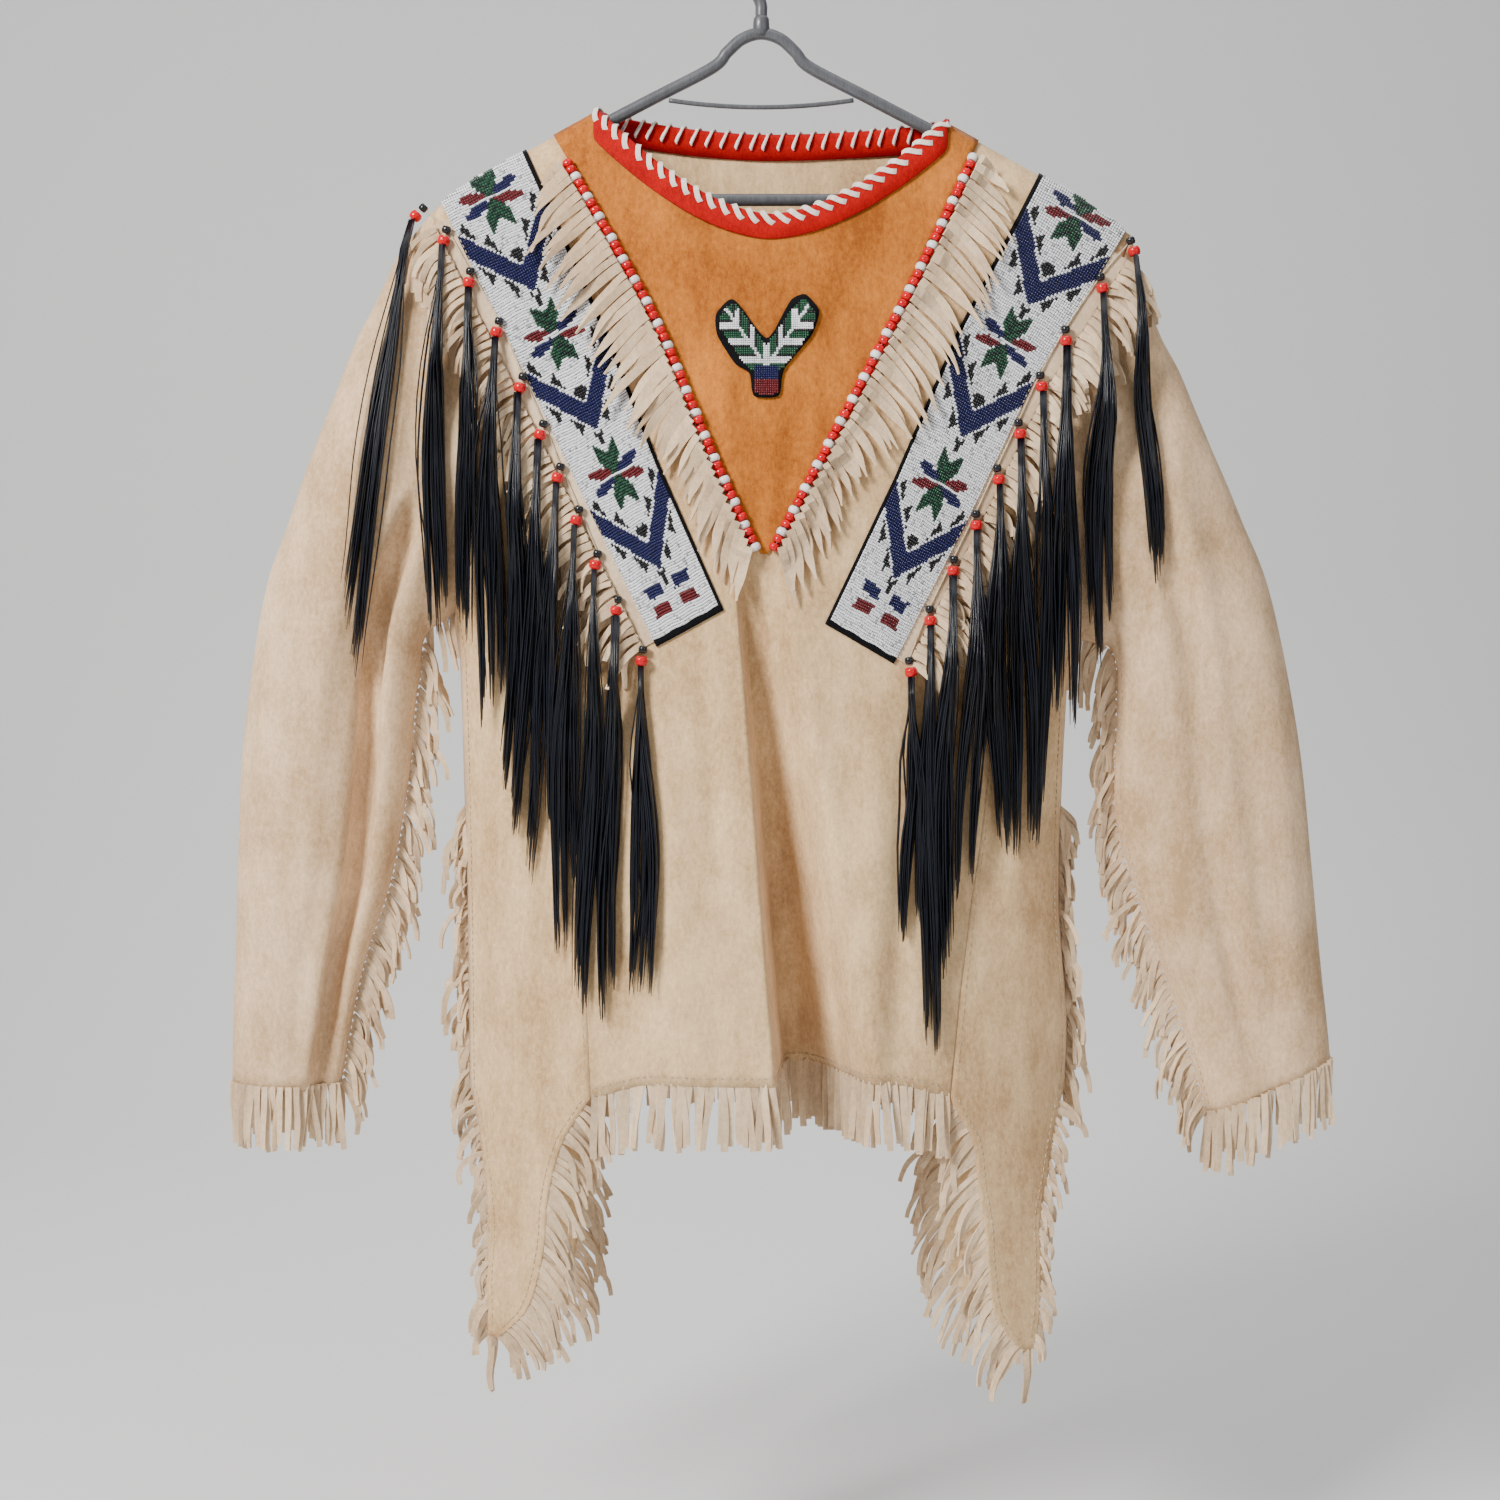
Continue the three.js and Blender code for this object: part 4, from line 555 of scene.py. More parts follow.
def strips_of_hide(paths, normals, widths, thickness):
    """Flat cut strips along paths (N, K, 3): a four-cornered section square to each path."""
    tangent = unit(np.gradient(paths, axis=1))
    side = unit(np.cross(tangent, normals))
    face = np.cross(side, tangent)
    half = np.asarray(widths)[..., None] / 2
    thick = np.asarray(thickness)[..., None] / 2
    rings = np.stack([paths + side * half + face * thick, paths - side * half + face * thick,
                      paths - side * half - face * thick, paths + side * half - face * thick], 2)
    return sections(rings)


def tubes(paths, radii, sides, closed=False, across=(0.0, 1.0, 0.0)):
    """Round tubes along paths (N, K, 3) with radii that broadcast to (N, K)."""
    if closed:
        tangent = unit(np.roll(paths, -1, axis=1) - np.roll(paths, 1, axis=1))
    else:
        tangent = unit(np.gradient(paths, axis=1))
    u = unit(np.asarray(across) - tangent * (tangent @ np.asarray(across))[..., None])
    v = np.cross(tangent, u)
    angle = TAU * (np.arange(sides) + 0.5) / sides
    radius = np.broadcast_to(radii, paths.shape[:2])[..., None, None]
    around = np.cos(angle)[:, None] * u[..., None, :] + np.sin(angle)[:, None] * v[..., None, :]
    return sections(paths[..., None, :] + radius * around, closed)


def joined(parts):
    """One list of points and faces from several."""
    points, faces, start = [], [], 0
    for some_points, some_faces in parts:
        points.append(some_points)
        faces += [[int(v) + start for v in face] for face in some_faces]
        start += len(some_points)
    return np.concatenate(points), faces


def add_piece(name, points, faces, material, slot, smooth=True, tint=None, hides=()):
    """Makes the mesh object, gives it its finish and lets it ride on the shirt's one body."""
    mesh = bpy.data.meshes.new(name)
    faces = faces.tolist() if isinstance(faces, np.ndarray) else faces
    mesh.from_pydata((points * MM).tolist(), [], faces)
    mesh.polygons.foreach_set("use_smooth", np.full(len(mesh.polygons), smooth))
    if tint is not None:
        colours = np.ones((len(points), 4), np.float32)
        colours[:, :3] = tint
        layer = mesh.color_attributes.new("tint", "FLOAT_COLOR", "POINT")
        layer.data.foreach_set("color", colours.ravel())
    mesh.materials.append(material)
    mesh.update()
    piece = bpy.data.objects.new(name, mesh)
    bpy.context.scene.collection.objects.link(piece)
    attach(piece, "root")
    if hides:
        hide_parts(*hides)
    return piece


# ---------------------------------------------------------------- relief under the fringes

class Relief:
    """Height map, per face, of how far out the finished pieces stand (mm out from y = 0)."""

    cell = 4.0
    rows, columns = 300, 230
    left = -455  # x of the map's left edge
    empty = -1e3  # where nothing lies

    def __init__(self, face):
        self.sign = FACE_SIGN[face]
        self.map = np.full((self.rows, self.columns), self.empty)

    def index(self, x, z):
        """Row and column of the cell at (x, z), held inside the map."""
        i = np.clip((-np.asarray(z) / self.cell).astype(int), 0, self.rows - 1)
        j = np.clip(((np.asarray(x) - self.left) / self.cell).astype(int), 0, self.columns - 1)
        return i, j

    def lay(self, points):
        """Raises the map to points that stand further out than it does."""
        flat = points.reshape(-1, 3)
        np.maximum.at(self.map, self.index(flat[:, 0], flat[:, 2]), self.sign * flat[:, 1])

    def out(self, x, z):
        """The highest thing within one cell of each point."""
        i, j = self.index(x, z)
        top = np.full(np.shape(i), self.empty)
        for di in (-1, 0, 1):
            for dj in (-1, 0, 1):
                near_i = np.clip(i + di, 0, self.rows - 1)
                near_j = np.clip(j + dj, 0, self.columns - 1)
                top = np.maximum(top, self.map[near_i, near_j])
        return top

    def lifted(self, paths, clearance):
        """Paths (N, K, 3) raised so that they lie in front of all that is below them."""
        floor = self.out(paths[..., 0], paths[..., 2]) + clearance
        out = np.maximum(self.sign * paths[..., 1], floor)
        for _ in range(3):
            middle = (out[:, :-2] + 2 * out[:, 1:-1] + out[:, 2:]) / 4
            out[:, 1:-1] = np.maximum(middle, floor[:, 1:-1])
        raised = paths.copy()
        raised[..., 1] = self.sign * out
        return raised


RELIEF = {face: Relief(face) for face in FACES}
OUT = {face: np.array([0.0, FACE_SIGN[face], 0.0]) for face in FACES}


# ---------------------------------------------------------------- node groups

def new_group(name):
    """A shader node group that takes a place and two tones, and gives a finish."""
    group = bpy.data.node_groups.new(name, "ShaderNodeTree")
    for kind, label, value in (("Vector", "Vector", (0, 0, 0)), ("Color", "Light", (1, 1, 1, 1)),
                               ("Color", "Dark", (0, 0, 0, 1))):
        socket = group.interface.new_socket(label, in_out="INPUT", socket_type=f"NodeSocket{kind}")
        socket.default_value = value
    for kind, label in (("Color", "Color"), ("Float", "Height"), ("Float", "Rough")):
        group.interface.new_socket(label, in_out="OUTPUT", socket_type=f"NodeSocket{kind}")
    return group, group.nodes.new("NodeGroupInput"), group.nodes.new("NodeGroupOutput")


def wire(tree, source, target):
    """Joins one socket to another."""
    tree.links.new(source, target)


def add_noise(tree, where, scale, detail=3.0, roughness=0.55, stretch=None):
    """A noise texture read at a position, which a stretch can draw out along an axis."""
    noise = tree.nodes.new("ShaderNodeTexNoise")
    noise.inputs["Scale"].default_value = scale
    noise.inputs["Detail"].default_value = detail
    noise.inputs["Roughness"].default_value = roughness
    if stretch:
        mapping = tree.nodes.new("ShaderNodeMapping")
        mapping.inputs["Scale"].default_value = stretch
        wire(tree, where, mapping.inputs["Vector"])
        where = mapping.outputs["Vector"]
    wire(tree, where, noise.inputs["Vector"])
    return noise.outputs["Fac"]


def add_ramp(tree, factor, low, high):
    """Maps low..high of a value to 0..1."""
    node = tree.nodes.new("ShaderNodeMapRange")
    node.inputs["From Min"].default_value = low
    node.inputs["From Max"].default_value = high
    wire(tree, factor, node.inputs["Value"])
    return node.outputs["Result"]


def add_mix(tree, factor, first, second):
    """Mixes two colours; each is a socket or a colour."""
    mix = tree.nodes.new("ShaderNodeMix")
    mix.data_type = "RGBA"
    for value, index in ((factor, 0), (first, 6), (second, 7)):
        if hasattr(value, "is_output"):
            wire(tree, value, mix.inputs[index])
        elif index == 0:
            mix.inputs[0].default_value = value
        else:
            mix.inputs[index].default_value = (*value, 1.0)
    return mix.outputs[2]


def add_math(tree, kind, first, second):
    """A math node between two values, either of which may be a number or a socket."""
    node = tree.nodes.new("ShaderNodeMath")
    node.operation = kind
    for value, socket in zip((first, second), node.inputs):
        if hasattr(value, "is_output"):
            wire(tree, value, socket)
        else:
            socket.default_value = value
    return node.outputs[0]


def weighted(tree, *terms, plus=None):
    """The sum of (value, weight) terms, and of a number at the end."""
    total = None
    for value, weight in terms:
        term = add_math(tree, "MULTIPLY", value, weight)
        total = term if total is None else add_math(tree, "ADD", total, term)
    return total if plus is None else add_math(tree, "ADD", total, plus)


def finish_group(group, start, end, tone, height, rough):
    """Mixes a group's two tones and joins its three outputs."""
    wire(group, add_mix(group, tone, start.outputs["Dark"], start.outputs["Light"]),
         end.inputs["Color"])
    wire(group, height, end.inputs["Height"])
    wire(group, rough, end.inputs["Rough"])
    return group


def suede_group():
    """Suede: mottled, with the darker smears and pale scuffs of a brushed nap."""
    group, start, end = new_group("suede nap")
    where = start.outputs["Vector"]
    cloud = add_noise(group, where, 9, 4, 0.6)
    smear = add_noise(group, where, 46, 5, 0.65, (1.0, 1.0, 0.28))
    nap = add_noise(group, where, 340, 4, 0.75, (1.0, 1.0, 0.6))
    fibre = add_noise(group, where, 1500, 2, 0.6)
    tone = weighted(group, (cloud, 0.38), (smear, 0.32), (nap, 0.34), (fibre, 0.16))
    return finish_group(group, start, end, add_ramp(group, tone, 0.49, 0.73),
                        weighted(group, (nap, 0.6), (fibre, 0.4), (smear, 0.5)),
                        weighted(group, (smear, 0.12), plus=0.84))


def felt_group():
    """Wool felt: matted short fibres that run every way."""
    group, start, end = new_group("matted felt")
    where = start.outputs["Vector"]
    matted = add_noise(group, where, 700, 4, 0.75, (1.0, 1.0, 0.5))
    patch = add_noise(group, where, 60, 3, 0.6)
    tone = weighted(group, (matted, 0.6), (patch, 0.4))
    return finish_group(group, start, end, add_ramp(group, tone, 0.35, 0.66), matted,
                        weighted(group, (patch, 0.1), plus=0.85))


def streak_group():
    """Strands or moulding: long streaks down the length, and small clouds of wear across."""
    group, start, end = new_group("long streaks")
    where = start.outputs["Vector"]
    streak = add_noise(group, where, 900, 2, 0.5, (1.0, 1.0, 0.03))
    cloud = add_noise(group, where, 30, 3, 0.6)
    tone = weighted(group, (streak, 0.7), (cloud, 0.3))
    return finish_group(group, start, end, add_ramp(group, tone, 0.4, 0.68), streak,
                        weighted(group, (cloud, 0.2), plus=0.3))


def finish_material(name, group, light, dark, bump=0.15, distance=0.0004, sheen=0.0, coat=0.0,
                    roughness=None, tinted=False, specular=0.3):
    """A material whose pattern comes from a node group that reads object coordinates."""
    material = bpy.data.materials.new(name)
    material.use_nodes = True
    tree = material.node_tree
    shader = tree.nodes["Principled BSDF"]
    place = tree.nodes.new("ShaderNodeTexCoord")
    pattern = tree.nodes.new("ShaderNodeGroup")
    pattern.node_tree = group
    wire(tree, place.outputs["Object"], pattern.inputs["Vector"])
    pattern.inputs["Light"].default_value = (*light, 1)
    pattern.inputs["Dark"].default_value = (*dark, 1)
    colour = pattern.outputs["Color"]
    if tinted:
        tint = tree.nodes.new("ShaderNodeVertexColor")
        tint.layer_name = "tint"
        mix = tree.nodes.new("ShaderNodeMix")
        mix.data_type, mix.blend_type = "RGBA", "MULTIPLY"
        mix.inputs[0].default_value = 1.0
        wire(tree, colour, mix.inputs[6])
        wire(tree, tint.outputs["Color"], mix.inputs[7])
        colour = mix.outputs[2]
    wire(tree, colour, shader.inputs["Base Color"])
    bump_node = tree.nodes.new("ShaderNodeBump")
    bump_node.inputs["Strength"].default_value = bump
    bump_node.inputs["Distance"].default_value = distance
    wire(tree, pattern.outputs["Height"], bump_node.inputs["Height"])
    wire(tree, bump_node.outputs["Normal"], shader.inputs["Normal"])
    if roughness is None:
        wire(tree, pattern.outputs["Rough"], shader.inputs["Roughness"])
    else:
        shader.inputs["Roughness"].default_value = roughness
    shader.inputs["Sheen Weight"].default_value = sheen
    shader.inputs["Sheen Roughness"].default_value = 0.5
    shader.inputs["Coat Weight"].default_value = coat
    shader.inputs["Coat Roughness"].default_value = 0.12
    shader.inputs["Specular IOR Level"].default_value = specular
    return material


MATERIALS = {}


def make_materials():
    """Makes every finish from the three groups, with the palest tones from the settings."""
    sizes = settings()
    suede, felt, streak = suede_group(), felt_group(), streak_group()
    MATERIALS.update({
        "hide": finish_material("shirt hide", suede, tuple(sizes.hide_colour), (0.46, 0.275, 0.13),
                                0.7, 0.0007, 0.15, specular=0.1),
        "sleeve": finish_material("sleeve hide", suede, tuple(sizes.sleeve_colour),
                                  (0.5, 0.31, 0.16), 0.7, 0.0007, 0.15, specular=0.1),
        "fringe": finish_material("cut fringe", suede, tuple(sizes.fringe_colour),
                                  (0.54, 0.38, 0.24), 0.4, 0.0004, 0.2, specular=0.1, tinted=True),
        "bib": finish_material("bib hide", suede, tuple(sizes.bib_colour), (0.28, 0.075, 0.01),
                               0.7, 0.0007, 0.08, specular=0.1),
        "felt": finish_material("red felt", felt, tuple(sizes.felt_colour), (0.25, 0.001, 0.001),
                                0.6, 0.0005, 0.05, specular=0.15),
        "black_felt": finish_material("black felt", felt, (0.007, 0.007, 0.008),
                                      (0.002, 0.002, 0.003), 0.6, 0.0005, 0.03, specular=0.08),
        "seed": finish_material("seed beads", streak, (1.0, 1.0, 1.0), (0.82, 0.82, 0.84),
                                0.05, 0.0001, coat=0.15, roughness=0.34, tinted=True, specular=0.4),
        "pony": finish_material("large glass beads", streak, (1.0, 1.0, 1.0), (0.9, 0.88, 0.88),
                                0.04, 0.0001, coat=0.25, roughness=0.2, tinted=True, specular=0.3),
        # The hair itself is black; the slight blue in both of its tones is a painted blue sheen.
        "hair": finish_material("black hair", streak, (0.007, 0.009, 0.018),
                                (0.002, 0.003, 0.005), 0.2, 0.0002, coat=0.1, roughness=0.36,
                                specular=0.4),
        "thong": finish_material("white thong", suede, (0.9, 0.85, 0.78), (0.66, 0.58, 0.5),
                                 0.4, 0.0004, 0.1, specular=0.1),
        "thread": finish_material("pale thread", streak, (0.72, 0.6, 0.44), (0.46, 0.36, 0.24),
                                  0.3, 0.0003, roughness=0.7, specular=0.2),
        "hanger": finish_material("grey plastic", streak, tuple(sizes.hanger_colour),
                                  (0.07, 0.073, 0.08), 0.06, 0.0002, coat=0.2, roughness=0.38,
                                  specular=0.45),
    })


# ---------------------------------------------------------------- hides


def hide_walls():
    """Front, back and side hides: each the body surface, with a second wall HIDE below it."""
    for face in FACES:
        x, z = panel_grid(face)
        outer = on_hide(face, x, z)
        piece = add_piece(f"{face}_hide", *shell(outer, on_hide(face, x, z, -HIDE)),
                          MATERIALS["hide"], "hide", hides=[f"{face}_panel"])
        RELIEF[face].lay(outer)
        for side in SIDES:
            x, z = side_grid(face, side)
            outer = on_hide(face, x, z)
            piece = add_piece(f"{face}_side_hide_{side['name']}",
                              *shell(outer, on_hide(face, x, z, -HIDE)), MATERIALS["hide"],
                              "hide", hides=[f"side_{face}_{side['name']}"])
            RELIEF[face].lay(outer)


SLEEVE_AROUND = 88  # places round a sleeve
SLEEVE_ALONG = 84  # places along a sleeve
HALF_ROUND = (1 - np.cos(np.linspace(0, math.pi, SLEEVE_AROUND // 2))) / 2


def armhole_points(side, share, face, out=0.0):
    """Points of the armhole on one face, from the shoulder to the armpit by equal height."""
    z = lerp(side["shoulder_z"], side["armpit_z"], share)
    return on_body(face, side["sign"] * read_table(side["edge"], z), z, out)


def armhole_ring(side, out=0.0):
    """The whole armhole: down the front to the armpit and up the back."""
    return np.concatenate([armhole_points(side, HALF_ROUND, "front", out),
                           armhole_points(side, HALF_ROUND[::-1], "back", out)])


def sleeve_rings(side):
    """Rings (K, S, 3) from the armhole to the cuff: front down to the armpit, back up again."""
    armhole = armhole_ring(side)
    both = np.concatenate([HALF_ROUND, HALF_ROUND[::-1]])
    facing = np.where(np.arange(len(both)) < len(HALF_ROUND), -1, 1)
    rings = [armhole]
    for k, (ox, oz, ix, iz, bow, depth, fold, at) in enumerate(SLEEVES[side["name"]]):
        oval = facing * (SEAM / 2 + depth * 2 * np.sqrt(both * (1 - both)))
        y = lerp(armhole[:, 1], oval, min(1, (k + 1) / 3))
        y = y + np.where(facing < 0, fold * np.exp(-(((both - at) / 0.11) ** 2)), 0)
        x = lerp(ox, ix, both) + bow * 4 * both * (1 - both)
        rings.append(np.stack([x, y, lerp(oz, iz, both)], -1))
    return smooth_line(np.array(rings), SLEEVE_ALONG)


def ring_normals(rings):
    """Normals of a tube of rings: along it crossed with round it, turned to face outwards."""
    along_tube = np.gradient(rings, axis=0)
    across = np.roll(rings, -1, axis=1) - np.roll(rings, 1, axis=1)
    normals = unit(np.cross(along_tube, across))
    centre = rings.mean(axis=1, keepdims=True)
    return normals * np.sign(np.einsum("ijk,ijk->", normals, rings - centre))


def sleeve_walls():
    """Sleeves: rings from armhole to cuff, raised by creases that are Gaussian bumps across."""
    for side in SIDES:
        rings = sleeve_rings(side)
        normals = ring_normals(rings)
        down = np.linspace(0, 1, rings.shape[0])[:, None]
        turn = (np.arange(rings.shape[1]) / rings.shape[1])[None]
        raised = np.zeros(rings.shape[:2])
        for d0, t0, d1, t1, width, tall in SLEEVE_CREASES + SLEEVE_FOLD[side["name"]]:
            run = clamp01((down - d0) / (d1 - d0))
            gap = turn - lerp(t0, t1, run)
            fade = smoothstep(down, d0 - 0.06, d0 + 0.1)
            fade = fade * (1 - smoothstep(down, d1 - 0.1, d1 + 0.06))
            raised += tall * np.exp(-((gap / width) ** 2)) * fade
        raised += 0.4 * np.sin(down * 31 + 5 * turn) * np.sin(turn * 29 + 4 * down)
        raised *= smoothstep(down, 0.03, 0.15)
        outer = rings + normals * raised[..., None]
        inner = outer - unit(normals) * HIDE
        inner[0] = armhole_ring(side, -HIDE)
        for wall in (outer, inner):
            wall[0] += unit(rings[1] - rings[0]) * SEAM
        piece = add_piece(f"sleeve_hide_{side['name']}", *shell(outer, inner, True),
                          MATERIALS["sleeve"], "hide", hides=[f"sleeve_{side['name']}"])
        half = rings.shape[1] // 2
        RELIEF["front"].lay(outer[:, :half])
        RELIEF["back"].lay(outer[:, half:])


def bib_wall():
    """The V bib, between the two bead lines and below the neck."""
    v = np.linspace(0, 1, 70)[:, None]
    across = np.linspace(0, 1, 60)[None]
    low = BIB_TIP + 4
    x = lerp(-LEFT["neck"], RIGHT["neck"], across) * np.ones_like(v)
    for _ in range(10):
        top = upper_edge("front", x) - 1.5
        z = lerp(top, low, v)
        x = lerp(line_x(BEAD_LINES["left"], z) + 2, line_x(BEAD_LINES["right"], z) - 2, across)
    outer = on_hide("front", x, z, BIB_FACE)
    piece = add_piece("bib_hide_piece", *shell(outer, on_hide("front", x, z, LIFT)),
                      MATERIALS["bib"], "bib_hide", hides=["bib"])
    RELIEF["front"].lay(outer)


EDGE_STATIONS = 120  # places along the neck edge of one face
THONG_STATIONS = 17  # places along one whipped stitch
STITCHES = {"front": 29, "back": 24}


def neck_binding():
    """The felt that wraps the neck edge, and the thongs whipped over the felt."""
    binding, thongs = [], []
    even = np.linspace(0, 1, EDGE_STATIONS)
    for face, stitch_count in STITCHES.items():
        x = lerp(-LEFT["neck"] + 0.6, RIGHT["neck"] - 0.6, even)
        z = upper_edge(face, x)
        edge = on_body(face, x, z)
        edge = along(edge, even)
        x, z = edge[:, 0], edge[:, 2]
        run = unit(np.gradient(np.stack([x, z], -1), axis=0))
        away = np.stack([run[:, 1], -run[:, 0]], -1)
        away *= np.sign(-away[:, 1:])
        normal = body_normal(face, x, z)
        over = unit(on_body(face, x + away[:, 0], z + away[:, 1]) - edge)
        wide = 14 * smoothstep(1 - np.abs(np.linspace(-1, 1, EDGE_STATIONS)), 0.0, 0.14) + 3

        def at(w, h, x=x, z=z, face=face, edge=edge, normal=normal, over=over, away=away):
            w = np.broadcast_to(w, x.shape)
            resting = on_body(face, x + away[:, 0] * np.maximum(w, 0),
                              z + away[:, 1] * np.maximum(w, 0), h)
            return np.where((w > 0)[:, None], resting, edge + over * w[:, None]
                            + normal * np.broadcast_to(h, x.shape)[:, None])

        top = 3.0
        loop = [(wide, top + 0.2), (wide - 0.6, top + 1.3), (wide / 2, top + 1.9), (1.5, top + 1.7),
                (-1.4, top + 0.4), (-2.2, -1.0), (-1.2, -3.6), (2.0, -4.4), (wide / 2, -4.4),
                (wide, -3.9), (wide, -2.9), (2.0, -2.9), (-0.4, -2.4), (-0.8, 0.0), (0.6, top),
                (wide / 2, top)]
        rings = np.stack([at(w, h) for w, h in loop], axis=1)[None]
        binding.append(sections(rings))
        RELIEF[face].lay(rings[0, :, 1])
        last = EDGE_STATIONS - 1
        place = ((np.arange(stitch_count) + 0.7) / (stitch_count + 0.4) * last).astype(int)
        slant = 1.8
        steps = []
        for share, w, h in ((-1.1, 8.5, -4.2), (-1.0, 7.5, -5.0), (-0.7, 1.6, -5.0),
                            (-0.5, -3.2, -1.4), (-0.3, -0.8, top + 1.8), (0.0, 2.4, top + 2.5),
                            (0.4, 5.0, top + 2.4), (0.5, 6.2, top + 1.2)):
            points = at(np.minimum(w, wide - 0.5), h)
            steps.append(points[np.clip(place + int(round(slant * share * 2)), 0, last)])
        paths = np.stack(steps, axis=1)
        paths = smooth_line(paths.transpose(1, 0, 2), THONG_STATIONS).transpose(1, 0, 2)
        core = edge[place] + over[place] * 3.0 - normal[place] * 1.0
        normals = unit(paths - core[:, None])
        whole = (stitch_count, THONG_STATIONS)
        thongs.append(strips_of_hide(paths, normals, np.full(whole, 3.8), np.full(whole, 0.9)))
    add_piece("binding_felt", *joined(binding), MATERIALS["felt"], "felt",
              hides=["neck_binding"])
    add_piece("binding_lacing", *joined(thongs), MATERIALS["thong"], "hide", smooth=False)


# ---------------------------------------------------------------- beads

LARGE_BEADS = 54  # in one strand of the V
CORNERS_OF_BEAD = 8  # points of one seed bead's mesh
RED_GLASS = (0.62, 0.0, 0.006)
WHITE_GLASS = (0.9, 0.89, 0.87)
BLACK_GLASS = (0.012, 0.012, 0.014)


def rings_of_beads(centres, axes, radius, half, hole, sides=12):
    """Closed barrel beads with a hole (N), each a ring of circles about its axis."""
    profile = np.array([(-0.62, hole), (-0.96, hole * 1.35), (-0.86, 0.8), (-0.35, 0.99),
                        (0.35, 0.99), (0.86, 0.8), (0.96, hole * 1.35), (0.62, hole)])
    helper = np.where(np.abs(axes[:, 1:2]) > 0.9, [[1.0, 0.0, 0.0]], [[0.0, 1.0, 0.0]])
    u = unit(np.cross(axes, helper))
    v = np.cross(axes, u)
    angle = TAU * np.arange(sides) / sides
    circle = (np.cos(angle)[:, None] * u[:, None] + np.sin(angle)[:, None] * v[:, None])
    half = np.broadcast_to(half, len(centres))[:, None, None, None]
    radius = np.broadcast_to(radius, len(centres))[:, None, None, None]
    rings = (centres[:, None, None] + axes[:, None, None] * profile[None, :, 0, None, None] * half
             + circle[:, None] * profile[None, :, 1, None, None] * radius)
    return sections(rings, closed=True)


def domes(centres, across, down, normals, wide, long, tall):
    """Low seed beads sewn on a ground: a small flat top and four sloping sides, open below."""
    corner = np.array([(-1, -1), (1, -1), (1, 1), (-1, 1)], float)
    a = across[:, None] * corner[None, :, :1] * wide / 2
    b = down[:, None] * corner[None, :, 1:] * long / 2
    low = centres[:, None] + a + b
    high = centres[:, None] + a * 0.5 + b * 0.42 + normals[:, None] * tall
    points = np.concatenate([low, high], axis=1).reshape(-1, 3)
    j = np.arange(4)
    k = (j + 1) % 4
    faces = np.concatenate([np.stack([j, k, k + 4, j + 4], -1), [[4, 5, 6, 7]]])
    if np.einsum("j,j->", np.cross(across[0], down[0]), normals[0]) < 0:
        faces = faces[:, ::-1]
    every = faces[None] + np.arange(len(centres))[:, None, None] * CORNERS_OF_BEAD
    return points, every.reshape(-1, 4)


def bead_strands():
    """Large beads at equal steps along both lines of the bib, two red ones to each white."""
    sizes = settings()
    for side in SIDES:
        line = np.array(BEAD_LINES[side["name"]], float)
        dense = smooth_line(line, 400)
        body = on_hide("front", dense[:, 0], dense[:, 1], BIB_FACE + sizes.pony_radius * 0.82)
        count = LARGE_BEADS
        centres = along(body, (np.arange(count) + 0.5) / count)
        axes = unit(np.gradient(centres, axis=0))
        pitch = length_of(body) / count
        rng = np.random.default_rng(3 + side["sign"])
        centres = centres + rng.normal(0, 0.22, centres.shape)
        axes = unit(axes + rng.normal(0, 0.05, axes.shape))
        points, faces = rings_of_beads(centres, axes, sizes.pony_radius, pitch / 2, 0.34, 14)
        red = (np.arange(count) + (1 if side["sign"] < 0 else 0)) % 3 > 0
        colour = np.where(red[:, None], [RED_GLASS], [WHITE_GLASS])
        colour = colour * rng.uniform(0.88, 1.06, (count, 1))
        core = tubes(body[None, ::4], 0.9, 6)
        tint = np.concatenate([np.repeat(colour, len(points) // count, axis=0),
                               np.full((len(core[0]), 3), 0.5)])
        add_piece(f"pony_beads_{side['name']}", *joined([(points, faces), core]),
                  MATERIALS["pony"], "large_beads", tint=tint,
                  hides=[f"bead_strand_{side['name']}"])
        RELIEF["front"].lay(points)


# ---------------------------------------------------------------- beaded strips

WHITE = (0.92, 0.93, 0.95)
NAVY = (0.006, 0.008, 0.075)
GREEN = (0.013, 0.08, 0.036)
DEEP_GREEN = (0.004, 0.022, 0.014)
DARK_RED = (0.15, 0.008, 0.012)
BLACK = (0.008, 0.008, 0.01)
STRIP_HALF = 35  # half the width of a strip, across
GROUND = 1.5  # thickness of a strip's felt ground
STAR_CENTRES = {  # (x, z) of a strip's three stars, and of the block pattern at its foot
    "left": [(-193, -206), (-146.4, -306), (-102, -407), (-67, -496)],
    "right": [(226.8, -218.6), (173, -311), (125, -414), (82.7, -501.7)],
}


